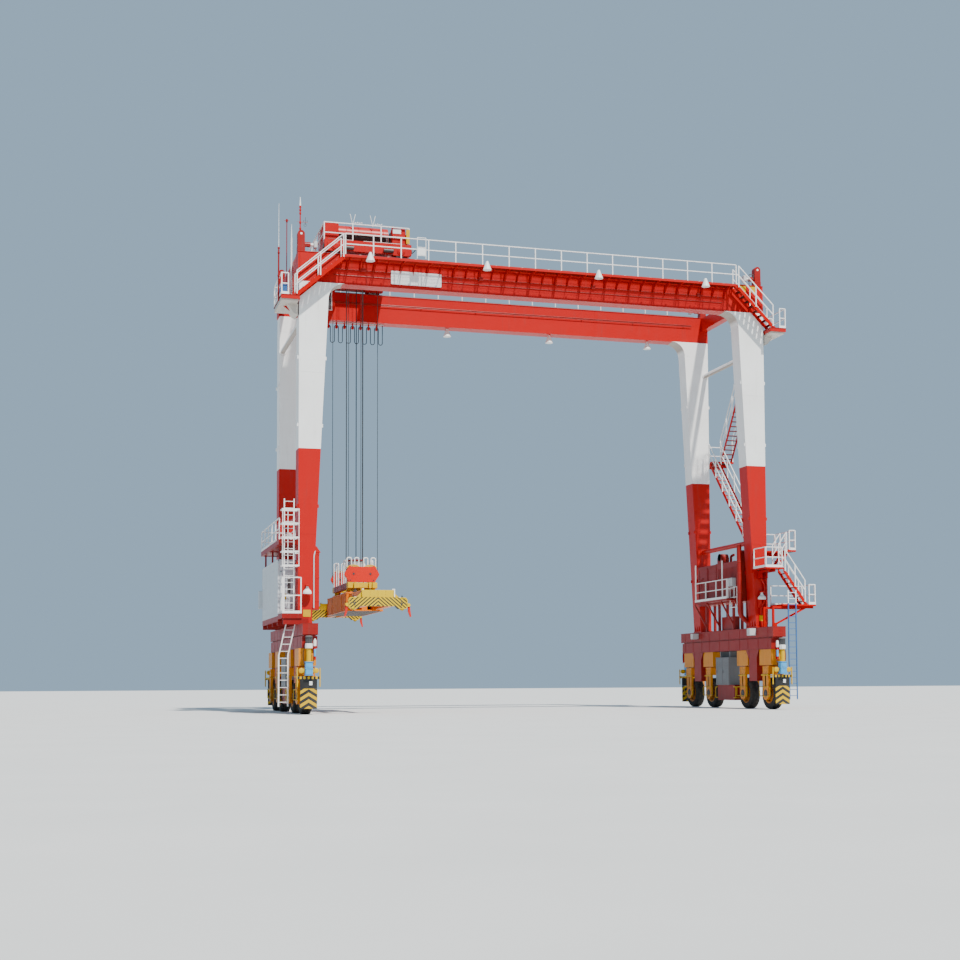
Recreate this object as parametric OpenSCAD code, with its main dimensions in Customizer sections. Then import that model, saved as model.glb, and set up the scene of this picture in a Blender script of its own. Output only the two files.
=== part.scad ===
// Rubber tyred gantry crane for a container yard, at real size in millimetres.
// X runs along the girders, Y is the way the crane travels, Z is up and the ground is at zero.
// Inside the modules X = 0 is the middle of the portal; portal_x then centres the whole machine.

/* [Portal] */
// Distance between the two wheel lines
wheel_span = 23470; // [22500:10:24500]
// How far a girder's end reaches beyond the wheel line
girder_over = 265; // [200:5:600]
// Distance between the girder centre lines
girder_gauge = 6970; // [6700:10:7300]
// Height of the girder top above the ground
girder_top = 21760; // [20500:10:23500]
// Depth of a girder
girder_h = 1450; // [1200:10:1700]
// Width of a girder
girder_w = 720; // [600:10:800]
// Thickness of a leg along the travel direction
leg_t = 900; // [700:10:1000]
// Width of a leg at its head
leg_head_w = 1390; // [1200:10:1600]
// Width of a leg at its foot
leg_foot_w = 640; // [500:10:700]
// Radius of the knee under the girder
knee_r = 780; // [500:10:1000]
// Depth of the tie beams between the girder ends
tie_h = 700; // [400:10:800]
// Diameter of the tubes that tie the legs together
tie_tube_d = 250; // [150:5:300]
// Height of the trolley rail with its pad
rail_h = 130; // [80:5:180]
// Width of the trolley rail
rail_w = 90; // [60:5:120]

/* [Sill beams] */
// Height of the sill beam's top
sill_top = 4120; // [3900:10:4400]
// Depth of the upper box of the sill
sill_upper_h = 500; // [350:10:600]
// Height of the sill's underside
sill_bottom = 3000; // [2850:10:3200]
// Width of the sill beams
sill_w = 700; // [600:10:760]
// How far the upper box of the sill reaches beyond the outer axles
sill_over = 990; // [980:5:1300]
// How much shorter the lower box is at each end
sill_setback = 200; // [100:10:400]
// Length of the pedestal between two wheels
pedestal_len = 900; // [500:10:940]
// Height of the pedestal's underside
pedestal_bottom = 1420; // [1300:10:2000]

/* [Running gear] */
// Diameter of a tyre
wheel_d = 1600; // [1400:10:1640]
// Width of a tyre
tyre_w = 500; // [420:10:520]
// Distance between the two wheels of a corner
wheel_base = 2650; // [2600:10:2800]
// Gap between a tyre and the fork's cheeks
fork_gap = 35; // [20:5:60]
// Thickness of a fork cheek
cheek_t = 110; // [60:5:140]
// Width of a fork along the wheel
fork_w = 690; // [500:10:760]
// Height of the joint between fork and slewing head
slew_z = 2200; // [2100:10:2300]
// Length of a slewing head along the sill
head_len = 1300; // [900:10:1400]
// Diameter of the steering spindle
spindle_d = 300; // [200:10:400]
// Diameter of the wheel axle
axle_d = 220; // [150:10:260]
// Running clearance on a radius
run_gap = 0.05; // [0.02:0.01:0.1]
// Height of the chevron plate
chevron_h = 900; // [600:10:1000]

/* [Access] */
// Width of the walkways beside the girders
walkway_w = 760; // [600:10:900]
// Height of the railings
rail_up = 1000; // [900:10:1200]
// Thickness of the railing bars
bar_t = 42; // [35:1:60]
// Thickness of the railing posts
post_t = 50; // [40:1:65]
// Distance between railing posts
post_step = 1330; // [1000:10:1600]
// Width of a stair flight
stair_w = 650; // [550:10:750]
// How far the platforms at the girder ends lie below the girder's top
end_deck_drop = 2310; // [1950:10:2700]
// Width of the platforms at the girder ends
end_deck_w = 880; // [760:10:1000]

/* [Houses] */
// Height of the electrical house's floor above the sill
house_lift = 450; // [300:10:700]
// Height of the electrical house
house_h = 2630; // [2300:10:2800]
// How far the electrical house reaches beyond the girder's end
house_over = 760; // [650:10:900]
// Gap between the electrical house and the legs in front and behind
house_gap = 5; // [5:5:300]
// Height of the engine house's floor above the sill
engine_lift = 1580; // [1400:10:1700]
// Height of the engine house
engine_h = 1950; // [1700:10:2200]
// Length of the engine house
engine_len = 5500; // [4500:10:5700]
// How far the engine house stays behind the girder's end
engine_back = 20; // [0:5:100]

/* [Trolley] */
// Distance from the left end of the girders to the middle of the trolley
trolley_park = 3400; // [3300:10:20500]
// Length of the trolley along the girders
trolley_len = 4220; // [4000:10:4600]
// Diameter of a trolley wheel
trolley_wheel_d = 560; // [450:10:640]
// Length of the operator's cabin along the girders
cabin_len = 1650; // [1500:10:1700]
// Width of the operator's cabin
cabin_w = 1800; // [1500:10:2000]
// Height of the operator's cabin
cabin_h = 2100; // [1950:10:2200]
// Thickness of the cabin's walls
cabin_wall = 60; // [40:5:90]

/* [Cables] */
// Diameter of the trolley's feed cable
festoon_d = 40; // [25:1:45]
// Number of loops it hangs in
festoon_loops = 8; // [6:1:9]
// How far the loops hang below the girder
festoon_drop = 1100; // [700:10:1500]

/* [Load gear] */
// Height of the twistlock tips' plane
lock_z = 4690; // [4500:10:18000]
// Distance between the twistlocks along the container
lock_len = 11985; // [11900:5:12050]
// Distance between the twistlocks across the container
lock_w = 2259; // [2200:1:2300]
// Diameter of a hoist rope
rope_d = 28; // [20:1:40]
// Height of the sheave axles above the twistlock plane
sheave_up = 1980; // [1900:10:2300]
// Diameter of a sheave on the head block
sheave_d = 720; // [600:10:760]
// Distance between the two sheave axles
sheave_gap = 820; // [780:10:900]
// Diameter of the tub that takes up the spreader's cable
basket_d = 700; // [500:10:900]
// Height of that tub
basket_h = 1240; // [800:10:1400]

/* [Hidden] */
$fn = 48;
seat = 0.3;

wheel_x = wheel_span / 2;
girder_y = girder_gauge / 2;
girder_bottom = girder_top - girder_h;
sill_len = girder_gauge + wheel_base + 2 * sill_over;
house_len = girder_gauge - leg_t - 2 * house_gap;
end_x = wheel_x + girder_over;
trolley_x = trolley_park - end_x;
house_out = end_x + house_over;
engine_out = end_x - engine_back;
house_z = sill_top + house_lift;
engine_z = sill_top + engine_lift;
end_deck_z = girder_top - end_deck_drop;
walk_reach = end_x - 1800;
sides = [-1, 1];
rail_top = girder_top + rail_h;
sill_x = wheel_x - 85;
sill_lower_top = sill_top - sill_upper_h - 70;
leg_foot_z = sill_top + 60;
wheel_rows = [-(girder_y + wheel_base / 2), -(girder_y - wheel_base / 2),
    girder_y - wheel_base / 2, girder_y + wheel_base / 2];
fork_half = tyre_w / 2 + fork_gap + cheek_t;
axle_z = wheel_d / 2;
front_face = girder_y + girder_w / 2;
walk_top = girder_top - 210;
end_deck_in = end_x + 5;
end_deck_out = end_deck_in + end_deck_w;

// Lanes of the stairs: two along X in front of the legs, two along Y outside the right legs
leg_out = end_x - 50;
leg_front = -(girder_y + leg_t / 2);
leg_back = -(girder_y - leg_t / 2);
lane_half = stair_w / 2;
inner_lane = leg_front - 60 - lane_half;
outer_lane = inner_lane - 110 - stair_w;
deck_near = inner_lane - lane_half;
stairs_near = outer_lane - lane_half;
lane_in = end_x + 80;
lane_out = lane_in + 120 + stair_w;
low_z = sill_top + 1130;
low_x = [leg_out + 110, end_x + 1900];
leg_deck_z = sill_top + 2980;
leg_deck_x = [leg_out - leg_foot_w - 150, leg_out + 190];
front_deck_z = sill_top + 3930;
front_deck_x = end_x + 760;
front_deck_y = 1085 - girder_y;
rear_deck_z = (front_deck_z + end_deck_z) / 2 - 150;
rear_deck_y = girder_y - 885;
head_deck_y = 2185 - girder_y;
platform_end = 1585 - girder_y;
platform_side = 885 - girder_y;
lane_end = lane_out + lane_half + 60;
right_reach = low_x[1];
roof_x = [house_out - 1460, house_out + 90];
left_reach = end_deck_out + 75;
portal_x = (left_reach - right_reach) / 2;
house_in = house_out - 1560;
balcony_z = house_z + 60;
balcony_near = leg_front - 560;
roof_top = house_z + house_h + 880;
roof_half = house_len / 2 - 30;
engine_in = engine_out - 980;
engine_mid = -150;

// Load gear, counted from the twistlock tips' plane
trolley_half = trolley_len / 2;
beam_z = lock_z + 100;
end_beam_h = 520;
end_y = lock_len / 2;
frame_half = 2750;
tube_w = 260;
tube_h = 740;
tube_z = beam_z + 120;
inner_tube = 270;
outer_tube = 620;
frame_w = 880;
frame_top = tube_z + tube_h + 60;
sheave_z = lock_z + sheave_up;
block_y = 2000;
drum_d = 660;
drum_z = rail_top + 1230;
drum_y = block_y + drum_d / 2 + rope_d / 2 + seat;
cabin_z = girder_bottom - 1460;
cabin_x = -1975;
flip_out = 70;
flip_z = beam_z + 180;
flip_pin = 40;

red = "firebrick";
dark_red = "maroon";
white = "whitesmoke";
orange = "orange";

// A box between two corners
module block(lo, hi) {
    translate(lo) cube(hi - lo);
}

// A straight bar of width w and height h from point p to point q
module beam(p, q, w, h) {
    v = q - p;
    len = norm(v);
    translate(p)
        rotate([0, -asin(v[2] / len), atan2(v[1], v[0])])
            translate([0, -w / 2, -h / 2]) cube([len, w, h]);
}

// A round bar from point p to point q
module rod(p, q, d) {
    v = q - p;
    len = norm(v);
    translate(p) rotate([0, acos(v[2] / len), atan2(v[1], v[0])]) cylinder(d = d, h = len);
}

// Moves a piece from the portal's middle to its place on the footprint
module at_portal() {
    translate([portal_x, 0, 0]) children();
}

// Draws a piece at the side s, mirrored for the left one
module at_side(s) {
    scale([s, 1, 1]) children();
}

// Railing along a straight line of floor points p to q
module railing(p, q, up = rail_up) {
    posts = max(1, round(norm(q - p) / post_step));
    z = [0, 0, 1];
    for (i = [0 : posts]) {
        foot = p + (q - p) * i / posts;
        beam(foot + z * seat, foot + z * up, post_t, post_t);
    }
    for (h = [up, up / 2]) {
        beam(p + z * h, q + z * h, bar_t, bar_t);
    }
}

// Railings round a chain of floor points, each run starting with its own post beside the corner
module rail_chain(pts, up = rail_up) {
    for (i = [0 : len(pts) - 2]) {
        v = pts[i + 1] - pts[i];
        railing(pts[i] + (i == 0 ? 0 : (post_t + 5) / norm(v)) * v, pts[i + 1], up);
    }
}

// One stringer of a flight, cut level at the foot and upright at the head
module stringer(run, up) {
    grade = up / run;
    deep = 230;
    rotate([90, 0, 0]) linear_extrude(height = 40)
        polygon([[seat / grade, seat], [run, up], [run, up - deep], [(deep + seat) / grade, seat]]);
}

// A flight of steps from foot a on its deck to head b at the edge of the next one
module flight(a, b, rise = 230) {
    v = b - a;
    run = norm([v[0], v[1]]);
    count = round(v[2] / rise);
    translate(a) rotate([0, 0, atan2(v[1], v[0])]) {
        for (s = sides) {
            translate([0, s * (lane_half - 20) + 20, 0]) stringer(run, v[2]);
        }
        for (i = [1 : count - 1]) {
            translate([i * run / count - 110, 30 - lane_half, i * v[2] / count - 90])
                cube([200, stair_w - 60, 30]);
        }
    }
}

// Handrails on the outer faces of a flight's stringers
module flight_rails(a, b, at = sides) {
    v = b - a;
    run = norm([v[0], v[1]]);
    grade = v[2] / run;
    posts = max(1, round(norm([run, v[2]]) / post_step));
    translate(a) rotate([0, 0, atan2(v[1], v[0])])
        for (s = at) translate([0, s * (lane_half + post_t / 2 + seat), 0]) {
            for (i = [0 : posts]) {
                x = 150 + (run - 220) * i / posts;
                beam([x, 0, x * grade - 90], [x, 0, x * grade + rail_up], post_t, post_t);
            }
            for (h = [rail_up, rail_up / 2]) {
                beam([150, 0, 150 * grade + h], [run - 70, 0, (run - 70) * grade + h], bar_t, bar_t);
            }
        }
}

// A ladder from foot p to top q, its rails the width w apart along the direction across
module ladder(p, q, w, across, thick = 50) {
    v = q - p;
    count = floor(norm(v) / 300);
    for (s = sides) {
        beam(p + s * across * w / 2, q + s * across * w / 2, thick, thick);
    }
    for (i = [1 : count]) {
        mid = p + v * (i - 0.4) / count;
        beam(mid - across * w / 2, mid + across * w / 2, 28, 28);
    }
}

module girder(side) {
    y = side * girder_y;
    block([-end_x, y - girder_w / 2, girder_bottom], [end_x, y + girder_w / 2, girder_top]);
}

module front_girder() {
    color(red) at_portal() girder(-1);
}

module rear_girder() {
    color(red) at_portal() girder(1);
}

module girder_end_ties() {
    reach = girder_y - girder_w / 2;
    color(dark_red) at_portal() for (s = sides) at_side(s)
        block([end_x - 400, -reach, girder_top - tie_h - 60], [end_x, reach, girder_top - 60]);
}

// Outline of a leg in X and Z with the curved knee under the girder
module leg_outline() {
    head_in = leg_out - leg_head_w;
    foot_in = leg_out - leg_foot_w;
    polygon([[leg_out, girder_bottom], [head_in, girder_bottom],
        [head_in, girder_bottom - knee_r], [foot_in, leg_foot_z], [leg_out, leg_foot_z]]);
    translate([head_in - knee_r, girder_bottom - knee_r]) difference() {
        square([knee_r + 100, knee_r]);
        circle(r = knee_r);
    }
}

module leg(side, end) {
    color(white) at_portal() at_side(side) {
        translate([0, end * girder_y + leg_t / 2, 0]) rotate([90, 0, 0])
            linear_extrude(height = leg_t) leg_outline();
        block([leg_out - leg_foot_w - 10, end * girder_y - leg_t / 2 - 60, sill_top],
            [leg_out + 40, end * girder_y + leg_t / 2 + 60, leg_foot_z]);
    }
}

module left_front_leg() {
    leg(-1, -1);
}

module left_rear_leg() {
    leg(-1, 1);
}

module right_front_leg() {
    leg(1, -1);
}

module right_rear_leg() {
    leg(1, 1);
}

// Upper and lower box of the sill, the web between them and a pedestal under each leg
module sill_beam(side) {
    half = sill_len / 2;
    x0 = sill_x - sill_w / 2;
    x1 = sill_x + sill_w / 2;
    color(dark_red) at_portal() at_side(side) {
        block([x0, -half, sill_top - sill_upper_h], [x1, half, sill_top]);
        block([x0 + 80, sill_setback - half, sill_bottom + 50],
            [x1 - 80, half - sill_setback, sill_top - 100]);
        block([x0, sill_setback - half, sill_bottom], [x1, half - sill_setback, sill_lower_top]);
        for (s = sides) {
            block([x0, s * girder_y - pedestal_len / 2, pedestal_bottom],
                [x1, s * girder_y + pedestal_len / 2, sill_bottom + 50]);
        }
    }
}

module left_sill_beam() {
    sill_beam(-1);
}

module right_sill_beam() {
    sill_beam(1);
}

// Where the middle of a leg lies at height z
function leg_mid(z) = let (t = (z - leg_foot_z) / (girder_bottom - leg_foot_z))
    (leg_out - leg_foot_w / 2) * (1 - t) + (leg_out - leg_head_w / 2) * t;

module leg_tie_tubes() {
    reach = girder_y - leg_t / 2 - seat;
    upper = [leg_out - 160, girder_bottom - 1850];
    color(white) at_portal() for (s = sides) at_side(s) {
        low = s > 0 ? leg_foot_z + 4370 : roof_top + rail_up + 420;
        for (at = [upper, [leg_mid(low), low]]) {
            rod([at[0], -reach, at[1]], [at[0], reach, at[1]], tie_tube_d);
            for (e = sides) {
                rod([at[0], e * reach, at[1]], [at[0], e * (reach - 30), at[1]], tie_tube_d + 120);
            }
        }
    }
}

// Rail on each girder with a foot plate under it
module trolley_rails() {
    reach = end_x - 700;
    color("dimgray") at_portal() for (s = sides) {
        block([-reach, s * girder_y - rail_w, girder_top], [reach, s * girder_y + rail_w, girder_top + 30]);
        block([-reach, s * girder_y - rail_w / 2, girder_top + 30],
            [reach, s * girder_y + rail_w / 2, rail_top]);
    }
}

// Posts on the girder ends that stop the trolley with their buffers
module end_stop_posts() {
    color(dark_red) at_portal() for (s = sides, e = sides) at_side(s) translate([0, e * girder_y, 0]) {
        block([end_x - 370, -180, girder_top], [end_x, 180, girder_top + 880]);
        block([end_x - 620, -90, girder_top + 330], [end_x - 370, 90, girder_top + 530]);
        translate([end_x - 960, 0, girder_top + 430]) rotate([0, 90, 0]) cylinder(d = 150, h = 340);
    }
}

// Deck plates beside both girders on brackets, and the platforms outside the girder ends
module upper_walkways() {
    reach = walk_reach;
    edge = front_face + walkway_w;
    color(red) at_portal() {
        for (s = sides) scale([1, s, 1]) {
            block([300 - reach, front_face + seat, walk_top - 50], [reach, edge, walk_top]);
            block([300 - reach, edge - 20, walk_top - 120], [reach, edge, walk_top - 50]);
            for (i = [0 : 15]) {
                x = 620 - reach + i * (2 * reach - 900) / 15;
                block([x - 30, front_face + seat, walk_top - 130], [x + 30, edge - 20, walk_top - 50]);
            }
        }
        for (s = sides) at_side(s) {
            block([end_deck_in, deck_near, end_deck_z - 60], [end_deck_out, platform_end, end_deck_z]);
            block([end_deck_in, deck_near, end_deck_z - 200],
                [end_deck_in + 60, platform_end, end_deck_z - 60]);
            block([end_deck_in, deck_near, end_deck_z - 200],
                [end_deck_out, deck_near + 60, end_deck_z - 60]);
            block([leg_out + seat, -girder_y - 100, end_deck_z - 260],
                [end_deck_in + 60, -girder_y + 100, end_deck_z - 60]);
            beam([end_deck_out - 60, -girder_y, end_deck_z - 90],
                [leg_out + 60, -girder_y, end_deck_z - 700], 60, 80);
            block([leg_out + seat, -girder_y - 60, end_deck_z - 800],
                [leg_out + 80, -girder_y + 60, end_deck_z - 600]);
        }
        block([end_deck_in, platform_side, end_deck_z - 60], [lane_end, head_deck_y, end_deck_z]);
    }
}

// Where the flights to the walkway stand and end
upper_foot = end_deck_in + 300;
upper_heads = [walk_reach - 300 + seat, walk_reach + seat];

module upper_railings() {
    reach = walk_reach;
    out = front_face + walkway_w - 30;
    y_end = platform_end - 30;
    y_side = platform_side + 40;
    x0 = end_deck_in + 40;
    x1 = end_deck_out - 30;
    y0 = deck_near + 30;
    color(white) at_portal() {
        railing([330 - reach, -out, walk_top], [reach - 30, -out, walk_top]);
        railing([330 - reach, out, walk_top], [reach - 30, out, walk_top]);
        for (i = [0, 1]) at_side(sides[i]) {
            rail_chain([[x0 + 500, y0, end_deck_z], [x1, y0, end_deck_z],
                [x1, i == 0 ? y_end - post_t - 5 : y_side - post_t - 5, end_deck_z]]);
            flight_rails([upper_foot, inner_lane, end_deck_z], [upper_heads[i], inner_lane, walk_top]);
        }
        railing([-x1, y_end, end_deck_z], [-x0, y_end, end_deck_z]);
        railing([lane_end - 30, y_side, end_deck_z], [lane_end - 30, head_deck_y, end_deck_z]);
        railing([x1, y_side, end_deck_z], [lane_end - 85, y_side, end_deck_z]);
        railing([x0, head_deck_y - 30, end_deck_z],
            [lane_out - lane_half - 80, head_deck_y - 30, end_deck_z]);
    }
}

// Flights from the end platforms up to the front walkway
module upper_stairs() {
    color(red) at_portal() for (i = [0, 1]) at_side(sides[i])
        flight([upper_foot, inner_lane, end_deck_z], [upper_heads[i], inner_lane, walk_top]);
}

// Foot and head of each flight at the right end
low_flight = [[leg_deck_x[1] + 1300, outer_lane, low_z], [leg_deck_x[1] + seat, outer_lane, leg_deck_z]];
short_flight = [[leg_deck_x[1] - 40, inner_lane, leg_deck_z],
    [front_deck_x - seat, inner_lane, front_deck_z]];
first_flight = [[lane_in, front_deck_y - 250, front_deck_z], [lane_in, rear_deck_y - seat, rear_deck_z]];
second_flight = [[lane_out, rear_deck_y + 250, rear_deck_z], [lane_out, head_deck_y + seat, end_deck_z]];

// Platforms and flights at the right end, from the low deck up to the upper platform
module right_stairs() {
    lane_start = leg_out + 20;
    color(red) at_portal() {
        block([low_x[0], stairs_near, low_z - 90], [low_x[1], deck_near + stair_w, low_z]);
        block([sill_x - 100, stairs_near + 100, sill_top + seat], [sill_x, stairs_near + 200, low_z - 90]);
        block([sill_x - 100, stairs_near + 100, low_z - 200],
            [low_x[1] - 100, stairs_near + 200, low_z - 90]);
        block([sill_x - 100, deck_near + 350, sill_top + seat], [sill_x, deck_near + 450, low_z - 90]);
        block([sill_x - 100, deck_near + 350, low_z - 200], [low_x[1] - 100, deck_near + 450, low_z - 90]);
        beam([sill_x + 60, stairs_near + 150, sill_top + 120],
            [low_x[1] - 500, stairs_near + 150, low_z - 150], 70, 90);
        block([sill_x, stairs_near + 110, sill_top + seat],
            [sill_x + 140, stairs_near + 190, sill_top + 200]);
        block([leg_deck_x[0], stairs_near, leg_deck_z - 90],
            [leg_deck_x[1], deck_near + stair_w, leg_deck_z]);
        for (x = [leg_deck_x[0] + 250, leg_out - 250]) {
            block([x, stairs_near + 200, leg_deck_z - 220], [x + 90, leg_front - seat, leg_deck_z - 90]);
            block([x, deck_near + 300, leg_deck_z - 500], [x + 90, leg_front - seat, leg_deck_z - 220]);
        }
        block([front_deck_x, deck_near, front_deck_z - 90], [lane_end, leg_front, front_deck_z]);
        block([lane_start, leg_front + 20, front_deck_z - 90], [lane_end, front_deck_y, front_deck_z]);
        block([front_deck_x, leg_front, front_deck_z - 90], [lane_end, leg_front + 20, front_deck_z]);
        block([leg_out + seat, leg_front + 150, front_deck_z - 260],
            [lane_end - 200, leg_front + 270, front_deck_z - 90]);
        block([leg_out + seat, leg_back - 220, front_deck_z - 260],
            [lane_end - 200, leg_back - 100, front_deck_z - 90]);
        block([lane_start, rear_deck_y, rear_deck_z - 90], [lane_end, -leg_back + 850, rear_deck_z]);
        for (y = [100, 700]) {
            block([leg_out + seat, y - leg_back, rear_deck_z - 260],
                [lane_end - 150, y + 100 - leg_back, rear_deck_z - 90]);
        }
        for (f = [low_flight, short_flight, first_flight, second_flight]) {
            flight(f[0], f[1]);
        }
    }
}

// Railings of the lower decks, the stairs at the right, the balcony and the house roof
module lower_railings() {
    y0 = stairs_near + 30;
    y1 = deck_near + stair_w - 30;
    x_end = lane_end - 30;
    lane_start = leg_out + 50;
    color(white) at_portal() {
        rail_chain([[leg_deck_x[1] + 1400, y0, low_z], [low_x[1] - 30, y0, low_z],
            [low_x[1] - 30, y1, low_z], [low_x[0] + 30, y1, low_z]]);
        rail_chain([[leg_deck_x[1] - 60, y0, leg_deck_z], [leg_deck_x[0] + 30, y0, leg_deck_z],
            [leg_deck_x[0] + 30, y1, leg_deck_z]]);
        rail_chain([[front_deck_x + 120, deck_near + 30, front_deck_z],
            [x_end, deck_near + 30, front_deck_z], [x_end, front_deck_y - 30, front_deck_z],
            [lane_in + lane_half + 140, front_deck_y - 30, front_deck_z]]);
        rail_chain([[x_end, rear_deck_y + 60, rear_deck_z], [x_end, 820 - leg_back, rear_deck_z],
            [lane_start, 820 - leg_back, rear_deck_z]]);
        for (f = [low_flight, short_flight, first_flight, second_flight]) {
            flight_rails(f[0], f[1]);
        }
        rail_chain([[engine_in - 480, engine_mid + 2000, engine_z],
            [engine_in - 480, engine_mid - 2000, engine_z],
            [engine_in - 60, engine_mid - 2000, engine_z]]);
        rail_chain([[30 - house_out, leg_front - 20, balcony_z],
            [30 - house_out, balcony_near + 30, balcony_z],
            [-leg_out + 60, balcony_near + 30, balcony_z]], 1650);
        rail_chain([[60 - leg_out, 30 - roof_half, roof_top], [-roof_x[0] - 30, 30 - roof_half, roof_top],
            [-roof_x[0] - 30, roof_half - 30, roof_top], [30 - roof_x[1], roof_half - 30, roof_top],
            [30 - roof_x[1], leg_front + 60, roof_top]]);
    }
}

// Rung ladders: up to the balcony, on to the house roof, and down from the low deck at the right
module ladders() {
    x = -leg_out - 430;
    y = leg_front - 30;
    color("silver") at_portal() {
        ladder([x - 270, y - 190, 350], [x - 270, y - 190, sill_bottom - 300], 420, [1, 0, 0], 58);
        ladder([x - 270, y - 190, sill_bottom - 310], [x + 170, y - 190, balcony_z + 20],
            420, [1, 0, 0]);
        ladder([front_deck_x - 200, stairs_near - 25 - seat, 500],
            [front_deck_x - 200, stairs_near - 25 - seat, low_z + 700], 420, [1, 0, 0]);
        ladder([x, y, balcony_z + seat], [x, y, roof_top + 1900], 450, [1, 0, 0]);
        for (i = [0 : 4]) {
            z = roof_top - 1250 + i * 650;
            for (s = sides) {
                beam([x + s * 380, y + 20, z], [x + s * 380, y - 560, z], 40, 60);
            }
            beam([x - 400, y - 560, z], [x + 400, y - 560, z], 40, 60);
            beam([x - 400, y, z], [x + 400, y, z], 30, 60);
        }
        for (dx = [-380, -130, 130, 380]) {
            beam([x + dx, y - 560, roof_top - 1250], [x + dx, y - 560, roof_top + 1350], 30, 30);
        }
        for (at = [balcony_z + 1700, balcony_z + 2800]) {
            beam([x + 225, y, at], [-leg_out - seat, y, at], 40, 40);
        }
    }
}

// Electrical house: hollow, with its door leaf standing in the doorway at the front
module electrical_house() {
    wall = 60;
    half = house_len / 2;
    door_x = 160 - house_out;
    gap = 3;
    color("lightgray") at_portal() {
        difference() {
            block([-house_out, -half, house_z], [-house_in, half, house_z + house_h]);
            block([wall - house_out, wall - half, house_z + wall],
                [-house_in - wall, half - wall, house_z + house_h - wall]);
            block([door_x, -half - 10, house_z + wall], [door_x + 800, wall - half + 10, house_z + 2060]);
        }
        block([door_x + gap, -half + 8, house_z + wall + seat],
            [door_x + 800 - gap, wall - half - 8, house_z + 2060 - gap]);
    }
}

// Floor beams, balcony and roof platform of the electrical house
module house_frame() {
    half = house_len / 2;
    color(dark_red) at_portal() {
        for (y = [250 - half, 60 - half / 3, half / 3 - 60, half - 250]) {
            block([-house_out, y - 70, sill_top + seat], [-house_in, y + 70, house_z - seat]);
        }
        for (x = [-house_out, -house_in - 80]) {
            block([x, -half, house_z - 260], [x + 80, half, house_z - seat]);
        }
        difference() {
            union() {
                block([-house_out, balcony_near, balcony_z - 230], [-leg_out - 20, -half - 5, balcony_z]);
                block([-leg_out - 20, balcony_near, balcony_z - 230],
                    [-leg_out + 100, leg_front - 10, balcony_z]);
            }
            block([-leg_out - 590, leg_front - 400, balcony_z - 300],
                [-leg_out + 10, leg_front - 90, balcony_z + 10]);
        }
        block([-house_out + 60, balcony_near + 60, sill_top + seat],
            [-sill_x + 100, balcony_near + 180, balcony_z - 230]);
        block([-house_out, -half - 5, house_z - 260], [-house_out + 80, -half, house_z - 60]);
        block([-roof_x[1], -roof_half, roof_top - 230], [-roof_x[0], roof_half, roof_top]);
        block([-roof_x[1], leg_front + 10, roof_top - 230], [-leg_out - 10, -roof_half, roof_top]);
        for (x = [120 - house_out, -house_in - 120], y = [330 - half, 0, half - 330]) {
            block([x - 40, y - 40, house_z + house_h + seat], [x + 40, y + 40, roof_top - 230]);
        }
    }
}

// Engine house with the two cowls of its air outlets on the roof
module engine_house() {
    color(dark_red) at_portal() {
        block([engine_in, engine_mid - engine_len / 2, engine_z + seat],
            [engine_out, engine_mid + engine_len / 2, engine_z + engine_h]);
        for (y = [engine_mid - 2460, engine_mid - 20]) {
            block([engine_in + 20, y - 250, engine_z + engine_h],
                [engine_in + 480, y + 250, engine_z + engine_h + 330]);
            translate([engine_in + 250, y, engine_z + engine_h + 330]) rotate([0, 90, 0])
                cylinder(d = 400, h = 460, center = true);
        }
    }
}

// Deck that carries the engine house on posts above the sill, with the fuel tank below
module engine_deck() {
    y0 = engine_mid - engine_len / 2;
    y1 = engine_mid + engine_len / 2;
    color(dark_red) at_portal() {
        block([engine_in, y0, engine_z - 180], [engine_out, y1, engine_z]);
        block([engine_in - 520, engine_mid - 2050, engine_z - 100],
            [engine_in, engine_mid + 2050, engine_z]);
        for (y = [y0 + 200, engine_mid - 900, engine_mid + 900, y1 - 200]) {
            block([sill_x - 300, y - 60, sill_top + seat], [sill_x - 180, y + 60, engine_z - 180]);
            block([sill_x + 180, y - 60, sill_top + seat], [sill_x + 300, y + 60, engine_z - 180]);
            beam([sill_x - 200, y, sill_top + 150], [engine_in - 300, y, engine_z - 110], 60, 80);
        }
        block([sill_x - 160, engine_mid - 760, sill_top + seat],
            [sill_x + 160, engine_mid + 760, sill_top + 720]);
    }
}

// Cabinets hung under the middle of each sill
module service_cabinets() {
    color("gray") at_portal() for (s = sides) at_side(s) {
        block([sill_x - 420, -750, 1220], [sill_x + 420, 900, 2670]);
        for (y = [-500, 650]) {
            block([sill_x - 250, y - 60, 2670], [sill_x + 250, y + 60, sill_bottom - seat]);
        }
        block([sill_x - 260, -1050, 420], [sill_x + 340, 1050, 1220]);
    }
}

// A lamp head hanging at point p, wider at the bottom
module lamp(p, d) {
    translate(p) cylinder(d1 = d, d2 = d / 4, h = d);
}

module floodlights() {
    edge = front_face + walkway_w;
    color("gainsboro") at_portal() {
        for (i = [0 : 3]) for (s = sides) {
            x = 1470 - walk_reach + i * (2 * walk_reach - 3300) / 3;
            lamp([x, s * (edge + 230), walk_top - 320], 420);
            block([x - 30, min(s * (edge + seat), s * (edge + 260)), walk_top + 40],
                [x + 30, max(s * (edge + seat), s * (edge + 260)), walk_top + 90]);
            block([x - 30, min(s * (edge + seat), s * (edge + 30)), walk_top - 120],
                [x + 30, max(s * (edge + seat), s * (edge + 30)), walk_top + 60]);
        }
        for (i = [0 : 2]) {
            lamp([end_x * (0.4775 * i - 0.2475), girder_y, girder_bottom - 420], 420);
        }
        for (s = sides) at_side(s) {
            lamp([sill_x - 100, leg_front - 190, leg_foot_z + 1380], 340);
            block([sill_x - 130, leg_front - 200, leg_foot_z + 1700],
                [sill_x - 70, leg_front - seat, leg_foot_z + 1760]);
        }
    }
}

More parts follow.
